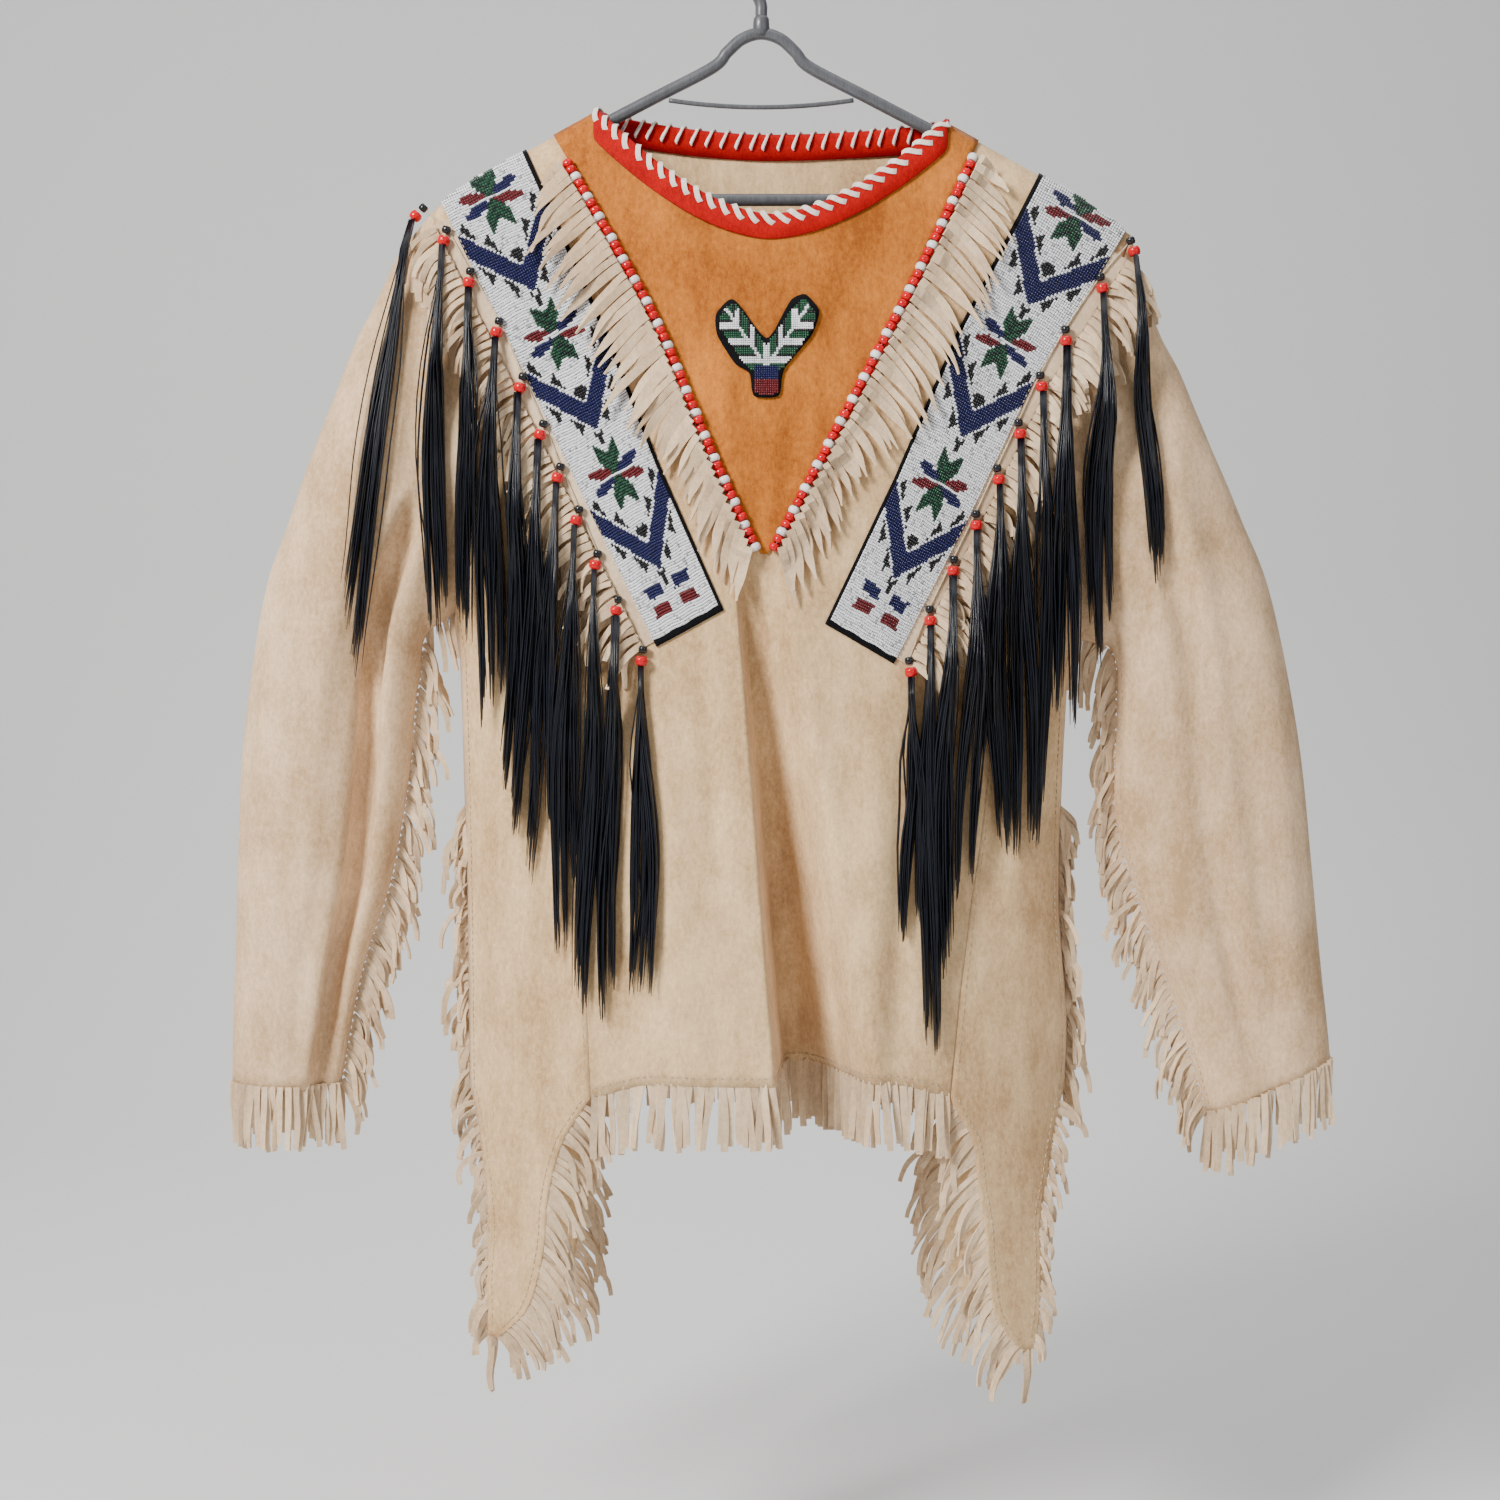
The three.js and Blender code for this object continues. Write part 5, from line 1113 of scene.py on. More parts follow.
def chart(u, v, stars):
    """Colours of a strip: u is mm across from its middle, outwards; v is mm down it.

    A star is two green arrows along the strip, and four points beside a thin white line. A
    chevron of constant height lies below each star, with small triangles on both its sides. The
    last centre has four blocks instead of a star."""
    colour = np.tile(np.array(WHITE), (len(u), 1))
    far = np.abs(u)

    def paint(where, value):
        colour[where] = value

    for number, star in enumerate(stars):
        dv = v - star
        up = np.abs(dv)
        red = (u > 0) == (dv < 0)
        if number == len(stars) - 1:
            block = (np.abs(far - 12 - 0.25 * up) < 8) & (np.abs(up - 7) < 4.2)
            paint(block & (dv < 0), NAVY)
            paint(block & (dv > 0), DARK_RED)
            continue
        point = np.abs(up - 1.6 - 0.24 * far) < 3.9 * np.sqrt(
            clamp01(np.sin(math.pi * clamp01((far - 2.5) / 21))))
        point &= (far > 2.5) & (far < 23.5) & (up > 1.2)
        paint(point & red, DARK_RED)
        paint(point & ~red, NAVY)
        arrow = (far < 10.5 * smoothstep(up, -6, 17)) & (up > 1.2) & (up < 17 + 0.95 * far)
        paint(arrow, GREEN)
        paint(arrow & ((up - 0.95 * far) % 6.2 < 2.6), DEEP_GREEN)
        edge = v + 1.22 * far - star
        paint((edge > 56) & (edge < 76), NAVY)
        for offset, above in ((53.0, True), (79.0, False)):
            gap = (offset - edge if above else edge - offset) / 1.58
            beat = (far - 8) % 13 - 6.5 if above else (far + 6.5) % 13 - 6.5
            tooth = (gap > 0.2) & (gap < 7.4 - 1.5 * np.abs(beat)) & (far < 31)
            paint(tooth, BLACK)
    return colour


def strip_frame(side):
    """Points of a strip as a function of (mm down it, share across it from its inner edge)."""
    inner, outer = (np.array(STRIPS[side["name"]][k], float) for k in ("inner", "outer"))
    middle = (inner + outer) / 2
    down = np.concatenate([[0], np.cumsum(np.linalg.norm(np.diff(middle, axis=0), axis=1))])

    def place(v, t):
        v, t = np.broadcast_arrays(np.asarray(v, float), np.asarray(t, float))
        i = np.clip(np.searchsorted(down, v) - 1, 0, 2)
        f = ((v - down[i]) / (down[i + 1] - down[i]))[..., None]
        a, b = lerp(inner[i], inner[i + 1], f), lerp(outer[i], outer[i + 1], f)
        point = lerp(a, b, t[..., None])
        return point[..., 0], point[..., 1]

    return place, down[-1]


def strip_ground(side, face):
    """The felt ground of a strip on one face, cut off at the shoulder fold."""
    name = side["name"]
    place, length = strip_frame(side)
    v = np.linspace(0, 1, 120)[:, None]
    t = np.linspace(-0.045, 1.0, 26)[None]
    top = np.full(t.shape, -5.0)
    for _ in range(24):
        x, z = place(top, t)
        top = top + (z - ridge(x)) / 0.85
    x, z = place(lerp(top, length + 3.2, v), t)
    z = np.minimum(z, ridge(x))
    ground = on_hide(face, x, z, LIFT + GROUND)
    add_piece(f"strip_ground_{face}_{name}", *shell(ground, on_hide(face, x, z, LIFT)),
              MATERIALS["black_felt"], "felt",
              hides=[f"beaded_strip_{name}"] if face == "front" else [])


def strip_beads(side, face):
    """Rows of seed beads on a strip's ground, each bead coloured by the chart at its place."""
    name, pitch = side["name"], settings().seed_pitch
    place, length = strip_frame(side)
    fine = np.linspace(-20, length, 800)
    mx, mz = place(fine, 0.5)
    stars = [fine[np.argmin(np.hypot(mx - x, mz - z))] for x, z in STAR_CENTRES[name]]
    across = int(round(2 * STRIP_HALF / pitch))
    rows = np.arange(-30, length - 0.6, pitch * 1.06)
    rng = np.random.default_rng(11 + len(face))
    t = np.broadcast_to((np.arange(across) + 0.5) / across, (len(rows), across))
    v = np.broadcast_to(rows[:, None], t.shape) + rng.normal(0, 0.07, t.shape)
    v = v + 0.35 * np.sin(t * 19 + rows[:, None] * 0.03)
    x, z = place(v, t)
    keep = z < ridge(x) - 0.8
    x, z, v, t = x[keep], z[keep], v[keep], t[keep]
    at = on_hide(face, x, z, LIFT + 1.4)
    ahead = on_hide(face, *place(v + 1, t), LIFT + 1.4)
    beside = on_hide(face, *place(v, t + 0.01), LIFT + 1.4)
    across_dir, down_dir = unit(beside - at), unit(ahead - at)
    normal = unit(np.cross(across_dir, down_dir))
    normal *= np.sign(normal @ OUT[face])[:, None]
    tall = pitch * rng.uniform(0.5, 0.64, (len(at), 1))[..., None]
    points, faces = domes(at, across_dir, down_dir, normal, pitch * 0.97, pitch * 0.94, tall)
    tint = chart((t - 0.5) * 2 * STRIP_HALF, v, stars)
    row = np.broadcast_to(np.arange(len(rows))[:, None], keep.shape)[keep][:, None]
    tick = np.where(rng.random((len(tint), 1)) < 0.05, 0.5, 1.0)
    tint = tint * rng.uniform(0.93, 1.07, (len(tint), 1)) * tick * (1 - 0.13 * (row % 2))
    add_piece(f"seed_beads_{face}_{name}", points, faces, MATERIALS["seed"], "beadwork",
              tint=np.repeat(tint, CORNERS_OF_BEAD, axis=0))
    RELIEF[face].lay(points)


def beaded_strips():
    """The ground and the beads of each strip, front and back."""
    for side in SIDES:
        for face in FACES:
            strip_ground(side, face)
            strip_beads(side, face)


# ---------------------------------------------------------------- bands and fringes

def strand_paths(roots, heading, lengths, seed, stations=9, fall=0.9, wave=0.1, spread=0.0,
                 uneven=0.1):
    """Paths of hanging strands: each leaves along its heading, turns downwards and wavers.

    A path adds up unit steps that blend from the heading to straight down, with two sines of
    its own size and phase across it."""
    rng = np.random.default_rng(seed)
    n = len(roots)
    s = np.linspace(0, 1, stations)[None, :, None]
    turn = clamp01(s * fall * rng.uniform(0.7, 1.3, (n, 1, 1)))
    heading = unit(heading + rng.normal(0, spread, heading.shape))[:, None]
    step = unit(heading * (1 - turn) + np.array([0, 0, -1.0]) * turn)
    step = np.concatenate([np.zeros((n, 1, 3)), step[:, 1:]], axis=1)
    lengths = np.broadcast_to(lengths, (n,)) * rng.uniform(1 - 1.3 * uneven, 1 + uneven, n)
    path = roots[:, None] + np.cumsum(step, axis=1) * (lengths / (stations - 1))[:, None, None]
    phase = rng.uniform(0, TAU, (n, 1, 2))
    size = rng.uniform(0.3, 1.0, (n, 1, 2)) * wave * lengths[:, None, None]
    waver = np.sin(s * np.array([5.0, 8.5]) * rng.uniform(0.8, 1.2, (n, 1, 2)) + phase)
    waver = (waver - np.sin(phase)) * size * s**0.8
    path[..., 0] += waver[..., 0]
    path[..., 1] += waver[..., 1] * 0.55
    return path


def ribbons(paths, out, widths, seed, thickness=1.3, twist=0.5, pointed=0.35):
    """Cut strips of hide along paths, turned a little about themselves and narrowed to a tip."""
    rng = np.random.default_rng(seed)
    n, k = paths.shape[:2]
    s = np.linspace(0, 1, k)[None]
    tangent = unit(np.gradient(paths, axis=1))
    out = np.broadcast_to(out, (n, 3))[:, None]
    side = unit(np.cross(tangent, out))
    face = np.cross(side, tangent)
    angle = (rng.normal(0, twist, (n, 1)) * s + rng.normal(0, twist / 3, (n, 1)))[..., None]
    normals = face * np.cos(angle) + side * np.sin(angle)
    widths = np.broadcast_to(widths, (n,)) * rng.uniform(0.75, 1.15, n)
    taper = 1 - (1 - pointed) * smoothstep(s, 0.55, 1.02)
    points, faces = strips_of_hide(paths, normals, widths[:, None] * taper,
                                   np.full((n, k), thickness))
    tone = np.repeat(rng.uniform(0.82, 1.08, (n, 1)), k * 4, axis=0)
    return points, faces, tone * np.array([[1.0, 0.99, 0.97]]).repeat(len(tone), 0)


def add_fringe(name, groups, hides, slot="hide", material="fringe"):
    """One piece from several (points, faces, tint) groups."""
    points, faces = joined([(p, f) for p, f, _ in groups])
    add_piece(name, points, faces, MATERIALS[material], slot, smooth=False,
              tint=np.concatenate([t for _, _, t in groups]), hides=hides)


def rooted(points, pitch):
    """Even roots along a line."""
    count = max(2, int(length_of(points) / pitch))
    return along(points, (np.arange(count) + 0.5) / count)


def edge_fringe(face, line, heading, length, seed, pitch, width, twist=0.5, pointed=0.35,
                over=False, **shape):
    """Fringe along a line of points: headings are (right, out, up) in the shirt's own frame, and
    with over the strips lie on top of what is already there."""
    roots = rooted(line, pitch)
    aim = np.tile(np.asarray(heading, float), (len(roots), 1))
    aim[:, 1] *= FACE_SIGN[face]
    paths = strand_paths(roots, aim, length, seed, **shape)
    if over:
        paths = RELIEF[face].lifted(paths, 1.2)
        RELIEF[face].lay(paths)
    return ribbons(paths, OUT[face], width * settings().fringe_scale, seed + 1, twist=twist,
                   pointed=pointed)


def bands_with_fringe():
    """Bands with fringe outside the beaded strips, and the fringe along the bib."""
    for side in SIDES:
        name, sign = side["name"], side["sign"]
        place, length = strip_frame(side)
        for face in FACES:
            v = np.linspace(0, 1, 110)[:, None]
            start = np.argmin(np.abs(place(np.arange(0, 120), 1.0)[1] - BAND_TOP[name]))
            width = BAND_WIDTH / (2 * STRIP_HALF)
            share = 1.002 + width * np.linspace(0, 1, 6)[None]
            x, z = place(lerp(start, length - 1, v), share)
            outer = on_hide(face, x, z, LIFT + BAND)
            band = shell(outer, on_hide(face, x, z, LIFT))
            band_tint = np.full((len(band[0]), 3), 0.93)
            edge_line = outer[:, -1]
            RELIEF[face].lay(outer)
            groups = [(band[0], band[1], band_tint)]
            for layer, (long, fall, width_mm) in enumerate(((46, 1.0, 5.4), (38, 0.75, 4.6))):
                groups.append(edge_fringe(
                    face, edge_line + np.array([0, 0, -1.5 * layer]), (sign * 0.9, 0.35, -0.35),
                    long, 40 + layer + 7 * sign + 3 * len(face), pitch=6.2, fall=fall, wave=0.05,
                    spread=0.12, width=width_mm, pointed=0.75, uneven=0.2, over=True))
            add_fringe(f"strip_fringe_hide_{face}_{name}", groups,
                       [f"strip_fringe_{face}_{name}"])
    for side in SIDES:
        name, sign = side["name"], side["sign"]
        line = smooth_line(np.array(BEAD_LINES[name], float), 80)
        x = line[:, 0] + sign * 4.5
        edge_line = on_hide("front", x, line[:, 1], LIFT + 2.2)
        roots = rooted(edge_line, 6.7)
        share = np.linspace(0, 1, len(roots))
        aim = np.stack([sign * np.interp(share, [0, 0.6, 1], [0.9, 0.8, 0.3]),
                        np.full(len(roots), -0.18),
                        -np.interp(share, [0, 0.6, 1], [0.46, 0.62, 1.0])], -1)
        long = np.interp(share, [0, 0.08, 0.5, 0.72, 1], [24, 54, 58, 36, 44])
        paths = strand_paths(roots, aim, long, 71 + sign, stations=10, fall=0.5, wave=0.035,
                             spread=0.06)
        paths = RELIEF["front"].lifted(paths, 1.6)
        RELIEF["front"].lay(paths)
        strip = ribbons(paths, OUT["front"], 6.3 * settings().fringe_scale, 72 + sign,
                        thickness=1.4, twist=0.35, pointed=0.2)
        base_x = np.stack([x - sign * 4, x + sign * 5], -1)
        z = np.repeat(line[:, 1:], 2, axis=1)
        band = shell(on_hide("front", base_x, z, LIFT + 2.9),
                     on_hide("front", base_x, z, LIFT + 1.7))
        add_fringe(f"v_fringe_hide_{name}",
                   [(band[0], band[1], np.full((len(band[0]), 3), 1.0)), strip],
                   [f"v_fringe_{name}"])


def line_points(face, x, z):
    """Points in the middle of the hide wall, where an edge fringe is rooted."""
    return on_hide(face, x, z, -HIDE / 2)


def hem_fringe(face):
    """Two layers of fringe along the hem of one face."""
    x = np.linspace(*hem_ends(), 120)
    groups = []
    for layer in range(2):
        line = line_points(face, x, hem_at(x) + 2.0 - layer)
        groups.append(edge_fringe(face, line, (0.0, 0.02, -1.0), 47 + layer,
                                  100 + layer + len(face), pitch=5.9 + 9 * layer, fall=0.5,
                                  wave=0.02, spread=0.09, width=5.2, twist=0.35, pointed=0.88,
                                  uneven=0.05))
    add_fringe(f"hem_fringe_hide_{face}", groups, [f"hem_fringe_{face}"])


def tab_fringe(side, face):
    """Fringe down the inner edge of a tab, round its tip and up its outer edge."""
    name, sign = side["name"], side["sign"]
    outer_tab, inner_tab = tab_tables(side, face)
    z = np.linspace(-864, outer_tab[-1][0] + 1, 90)
    inner = line_points(face, sign * (read_table(inner_tab, z) + 1.0), z)
    tip_x = np.linspace(inner_tab[-1][1], outer_tab[-1][1], 12)
    tip = line_points(face, sign * tip_x, np.full(12, outer_tab[-1][0] + 1.0))
    z = np.linspace(-872, outer_tab[-1][0] + 1, 80)
    outer = line_points(face, sign * (read_table(outer_tab, z) - 1.0), z)
    seed = sign + len(face)
    groups = [
        edge_fringe(face, inner, (-sign * 0.75, 0.0, -0.6), 44, 130 + seed, pitch=5.0, fall=0.8,
                    wave=0.06, spread=0.14, width=4.5, pointed=0.8, uneven=0.14),
        edge_fringe(face, tip, (0.0, 0.0, -1.0), 44, 140 + seed, pitch=3.6, wave=0.05,
                    spread=0.24, width=4.6, pointed=0.8),
        edge_fringe(face, outer, (sign * 0.85, 0.0, -0.5), 26, 150 + seed, pitch=6.4, fall=1.1,
                    wave=0.07, spread=0.24, width=4.4, twist=0.6, pointed=0.8, uneven=0.3)]
    add_fringe(f"tab_fringe_hide_{face}_{name}", groups, [f"tab_fringe_{face}_{name}"])


def side_fringe(side):
    """Three layers of fringe in the side seam, between the front and the back."""
    name, sign = side["name"], side["sign"]
    z = np.linspace(SIDE_FRINGE_TOP, -872, 100)
    seam = on_body("front", sign * (read_table(side["edge"], z) - 1.5), z, -0.6)
    seam[:, 1] = -0.2
    groups = []
    for layer, (out, long, pitch) in enumerate(((-0.22, 30, 5.4), (0.22, 22, 5.4),
                                                (-0.05, 38, 13.0))):
        groups.append(edge_fringe("front", seam, (sign * 0.75, -out, -0.65), long,
                                  160 + layer + sign, pitch=pitch, fall=1.1, wave=0.07,
                                  spread=0.26, width=4.4, twist=0.6, pointed=0.75, uneven=0.3))
    add_fringe(f"side_fringe_hide_{name}", groups, [f"side_fringe_{name}"])


def sleeve_fringe(side):
    """Fringe in the armpit and along the seam under the arm."""
    name, sign = side["name"], side["sign"]
    rings = sleeve_rings(side)
    half = rings.shape[1] // 2
    start = 30 if sign < 0 else 14
    under = (rings[start:, half - 1] + rings[start:, half]) / 2
    under[:, 1] += 2.0
    armpit = lerp(np.array([sign * 226.0, 3.4, side["armpit_z"] + 16]),
                  np.array([sign * 254.0, 3.4, side["armpit_z"] - 4]),
                  np.linspace(0, 1, 20)[:, None])
    groups = [edge_fringe("front", armpit, (-sign * 0.2, -0.05, -1.0), 50, 176 + sign, pitch=4.8,
                          wave=0.04, spread=0.06, width=4.4, twist=0.4, pointed=0.8)]
    for layer, out in enumerate((-0.12, 0.12)):
        groups.append(edge_fringe("front", under, (-sign * 0.75, -out, -0.66), 40 - 6 * layer,
                                  180 + layer + sign, pitch=5.6, fall=1.0, wave=0.07,
                                  spread=0.16, width=4.4, twist=0.6, pointed=0.75, uneven=0.2))
    add_fringe(f"sleeve_fringe_hide_{name}", groups, [f"sleeve_fringe_{name}"])


def cuff_fringe(side):
    """Two layers of fringe on each half of the cuff."""
    name, sign = side["name"], side["sign"]
    rings = sleeve_rings(side)
    half = rings.shape[1] // 2
    groups = []
    for face, part in (("front", slice(1, half - 1)), ("back", slice(half + 1, 2 * half - 1))):
        cuff = rings[-1, part] - np.array([0, 0, -2.0])
        for layer in range(2):
            groups.append(edge_fringe(face, cuff, (0.0, 0.05, -1.0), 46 + 3 * layer,
                                      190 + layer + sign + len(face), pitch=5.8 + 5 * layer,
                                      fall=0.6, wave=0.03, spread=0.09, width=4.8, twist=0.4,
                                      pointed=0.85, uneven=0.07))
    add_fringe(f"cuff_fringe_hide_{name}", groups, [f"cuff_fringe_{name}"])


def body_fringes():
    """Fringe of the hem, tabs, sides, sleeves and cuffs."""
    for face in FACES:
        hem_fringe(face)
    for side in SIDES:
        for face in FACES:
            tab_fringe(side, face)
        side_fringe(side)
        sleeve_fringe(side)
        cuff_fringe(side)


# ---------------------------------------------------------------- hair tassels

HAIR_STATIONS = 13  # places along one bundle of hairs


def tassel_hairs(rng, start, length, drift):
    """Paths of one tassel's hairs: two or three locks that part, waver and drift sideways."""
    locks = int(rng.integers(2, 4))
    count = settings().hair_strands
    s = np.linspace(0, 1, HAIR_STATIONS)[None]
    lock = rng.integers(0, locks, count)
    lock_off = np.linspace(-1, 1, locks)[lock] * rng.uniform(2.5, 7)
    lock_len = length * rng.uniform(0.84, 1.02, locks)[lock] * rng.uniform(0.9, 1.03, count)
    body = smoothstep(s, 0.0, 0.4) * (1 - 0.6 * smoothstep(s, 0.6, 1.0))
    stray = np.where(rng.random((count, 1)) < 0.06, 4.0, 1.0)
    loose = rng.normal(0, 1.7, (count, 1)) * body * stray
    wave = rng.normal(0, 1.1, (count, 1)) * np.sin(s * rng.uniform(4, 9, (count, 1))
                                                  + rng.uniform(0, TAU, (count, 1)))
    sway = 4.0 * np.sin(s * 3.4 + rng.uniform(0, TAU)) * smoothstep(s, 0.05, 0.6)
    path = np.zeros((count, HAIR_STATIONS, 3))
    path[..., 0] = (start[0] + rng.normal(0, 0.9, (count, 1)) + drift * s**1.15
                    + lock_off[:, None] * smoothstep(s, 0.05, 0.7) + loose
                    + wave * body + sway)
    path[..., 2] = start[2] - lock_len[:, None] * s
    path[..., 1] = (start[1] + rng.normal(0, 0.9, (count, 1))
                    + rng.normal(0, 2.2, (count, 1)) * body)
    return path


def hair_tassels():
    """A lock of waving hairs under a black and a red bead at each knot, and the lace."""
    sizes = settings()
    for (face, name), rows in TASSELS.items():
        sign = (LEFT if name == "left" else RIGHT)["sign"]
        rng = np.random.default_rng(200 + len(face) + sign)
        beads, tints = [], []
        knots = np.array([(x, z) for x, z, _, _ in rows], float)
        lace_line = on_hide(face, *smooth_line(knots, 120).T, LIFT + BAND + 1.2)
        lace = tubes(lace_line[None], 0.6, 6)
        paths = []
        for (x, z, length, drift), knot in zip(rows, on_hide(face, knots[:, 0], knots[:, 1],
                                                             LIFT + BAND + 4.0)):
            lean = unit(np.array([[drift * 0.4 + sign * 2.0, 0.0, -22.0]]))
            bead_at = np.stack([knot, knot + lean[0] * 8.2 + OUT[face] * 1.6])
            points, faces = rings_of_beads(bead_at, np.repeat(lean, 2, axis=0),
                                           np.array([3.4, 4.6]), np.array([2.9, 3.7]), 0.3, 12)
            beads.append((points, faces))
            tints.append(np.repeat([BLACK_GLASS, RED_GLASS], len(points) // 2, axis=0))
            start = bead_at[1] + lean[0] * 3.4
            paths.append(tassel_hairs(rng, start, length, drift))
        paths = np.concatenate(paths)
        s = np.linspace(0, 1, HAIR_STATIONS)[None]
        depth = rng.uniform(0, 7, (len(paths), 1)) * smoothstep(s[0], 0.02, 0.25)
        lifted = RELIEF[face].lifted(paths, 1.6)
        lifted[..., 1] += RELIEF[face].sign * depth
        thick = 0.55 + 0.45 * np.sin(math.pi * clamp01(s * 0.8 + 0.15))
        radius = sizes.hair_radius * rng.uniform(0.5, 1.25, (len(paths), 1)) * thick
        radius = radius * (1 - 0.6 * smoothstep(s, 0.92, 1))
        hair = tubes(lifted, radius, 3)
        add_piece(f"tassel_lace_{face}_{name}", *lace, MATERIALS["thread"], "hide")
        add_piece(f"hair_locks_{face}_{name}", *hair, MATERIALS["hair"], "hair",
                  hides=[f"hair_tassels_{face}_{name}"])
        add_piece(f"tassel_beads_{face}_{name}", *joined(beads), MATERIALS["pony"],
                  "large_beads", tint=np.concatenate(tints))


# ---------------------------------------------------------------- badge

def inside_outline(x, z, outline):
    """Even-odd test of points against a closed outline."""
    inside = np.zeros(x.shape, bool)
    for (x0, z0), (x1, z1) in zip(outline, np.roll(outline, -1, axis=0)):
        crosses = (z0 > z) != (z1 > z)
        with np.errstate(divide="ignore", invalid="ignore"):
            at = (x1 - x0) * (z - z0) / (z1 - z0) + x0
        inside ^= crosses & (x < at)
    return inside


def badge():
    """A felt ground with a rounded outline, and seed beads in the two feathers' pattern."""
    sizes = settings()
    closed = np.array(BADGE_OUTLINE + BADGE_OUTLINE[:1], float)
    for cut in (0.14, 0.25):
        corner = closed[:-1], closed[1:]
        closed = np.stack([lerp(*corner, cut), lerp(*corner, 1 - cut)], axis=1).reshape(-1, 2)
        closed = np.concatenate([closed, closed[:1]])
    rim = along(closed, np.linspace(0, 1, 121)[:-1])
    high, low = BIB_FACE + 2.8, BIB_FACE + 0.7
    centre = np.array([0.5, -8.0])
    shares = np.linspace(0, 1, 7)[1:, None, None]
    grid = np.concatenate([np.full((1, 120, 2), centre) + (rim - centre) * 0.02,
                           centre + (rim - centre) * shares])

    def at(points, out):
        return on_hide("front", BADGE["x"] + points[..., 0], BADGE["z"] + points[..., 1], out)

    bulge = high - 0.5 * (np.linspace(0, 1, 7) ** 4)[:, None]
    ground = shell(at(grid, np.broadcast_to(bulge, grid.shape[:2])), at(grid, low), True)
    add_piece("badge_ground", *ground, MATERIALS["black_felt"], "felt",
              hides=["feather_badge"])
    pitch = 0.8 * sizes.seed_pitch
    x, z = np.meshgrid(np.arange(-42, 44, pitch), np.arange(-42, 42, pitch * 1.04))
    x, z = x.ravel(), z.ravel()
    # Two feathers lean away from the stem. Each has a white midrib; outside it the barbs lie
    # level, inside it they stand upright, and white barbs take turns with green ones.
    colour = np.tile(np.array(BLACK), (len(x), 1))
    keep = np.zeros(len(x), bool)
    for lean, tip_x, tip_z in ((-1, -32.0, 30.0), (1, 32.5, 31.0)):
        axis = unit(np.array([tip_x, tip_z + 16]))
        q = x * axis[0] + (z + 16) * axis[1]
        d = (x * axis[1] - (z + 16) * axis[0]) * lean
        long = math.hypot(tip_x, tip_z + 16)
        wide = np.where(d > 0, 11.6, 8.4) * np.sqrt(clamp01(1.04 - ((q / long - 0.5) / 0.56) ** 4))
        mine = (q > 0) & (q < long) & (x * lean > -0.8) & (np.abs(d) < wide)
        step = np.where(d > 0, (z + 13.1) % 12, (np.abs(x) - 8.1) % 10.6 * 12 / 10.6)
        bar = (step < 4.8) & (q < long - 11)
        colour[mine & (step % 6 < 4.8)] = GREEN
        colour[mine & (bar | (np.abs(d) < 1.1))] = WHITE
        keep |= mine
    stem = (z < -16) & (z > -37) & (np.abs(x) < 8.6)
    colour[stem] = np.where((z > -25)[:, None], NAVY, DARK_RED)[stem]
    keep = (keep | stem) & inside_outline(x, z, centre + (rim - centre) * 0.93)
    x, z, colour = x[keep], z[keep], colour[keep]
    points = at(np.stack([x, z], -1), high - 0.15)
    across = unit(at(np.stack([x + 1, z], -1), high) - at(np.stack([x, z], -1), high))
    down = unit(at(np.stack([x, z - 1], -1), high) - at(np.stack([x, z], -1), high))
    normal = unit(np.cross(across, down))
    normal *= np.sign(normal @ OUT["front"])[:, None]
    rng = np.random.default_rng(5)
    tall = pitch * rng.uniform(0.5, 0.62, (len(x), 1))[..., None]
    mesh = domes(points, across, down, normal, pitch * 0.97, pitch * 0.96, tall)
    add_piece("badge_beads", *mesh, MATERIALS["seed"], "beadwork",
              tint=np.repeat(colour * rng.uniform(0.88, 1.08, (len(x), 1)),
                             CORNERS_OF_BEAD, axis=0))


# ---------------------------------------------------------------- stitches and hanger

def dashes(line, pitch, long, radius=0.45):
    """Short stitches along a line of points."""
    count = int(length_of(line) / pitch)
    start = np.arange(count) / count
    share = start[:, None] + np.linspace(0, 1, 3)[None] * long / length_of(line)
    paths = along(line, np.clip(share, 0, 1).ravel()).reshape(count, 3, 3)
    return tubes(paths, radius * np.array([0.5, 1.0, 0.5]), 4)


def stitches():
    """Short stitches along the hem, tabs, side edges, seams, strip edges and sleeves."""
    parts = []
    for face in FACES:
        low, high = hem_ends()
        x = np.linspace(low + 2, high - 2, 140)
        parts.append(dashes(on_hide(face, x, hem_at(x) + 6, 0.3), 5.2, 3.4))
        for side in SIDES:
            sign = side["sign"]
            outer_tab, inner_tab = tab_tables(side, face)
            tab_z = np.linspace(-862, outer_tab[-1][0] + 8, 80)
            edge_z = np.linspace(side["armpit_z"] - 6, -866, 100)
            for table, inset, z in ((inner_tab, 5, tab_z), (outer_tab, -5, tab_z),
                                    (side["edge"], -6, edge_z)):
                x = sign * (read_table(table, z) + inset)
                parts.append(dashes(on_hide(face, x, z, 0.3), 5.2, 3.4))
            z = np.linspace(side["seam_top"] - 4, HEM["z"] + 4, 120)
            x = sign * (read_table(side["seam"], z) + 3.5)
            parts.append(dashes(on_hide(face, x, z, 0.3), 6.0, 3.0, 0.35))
            place, length = strip_frame(side)
            v = np.linspace(12, length - 2, 160)
            x, z = place(v, 0.985)
            parts.append(dashes(on_hide(face, x, z, LIFT + 2.8), 4.4, 2.2, 0.4))
    for side in SIDES:
        rings = sleeve_rings(side)
        normals = ring_normals(rings)
        half = rings.shape[1] // 2
        for column in (half - 5, half + 4):
            parts.append(dashes(rings[8:, column] + normals[8:, column] * 0.2, 5.6, 3.2, 0.3))
    add_piece("seam_stitches", *joined(parts), MATERIALS["thread"], "hide")


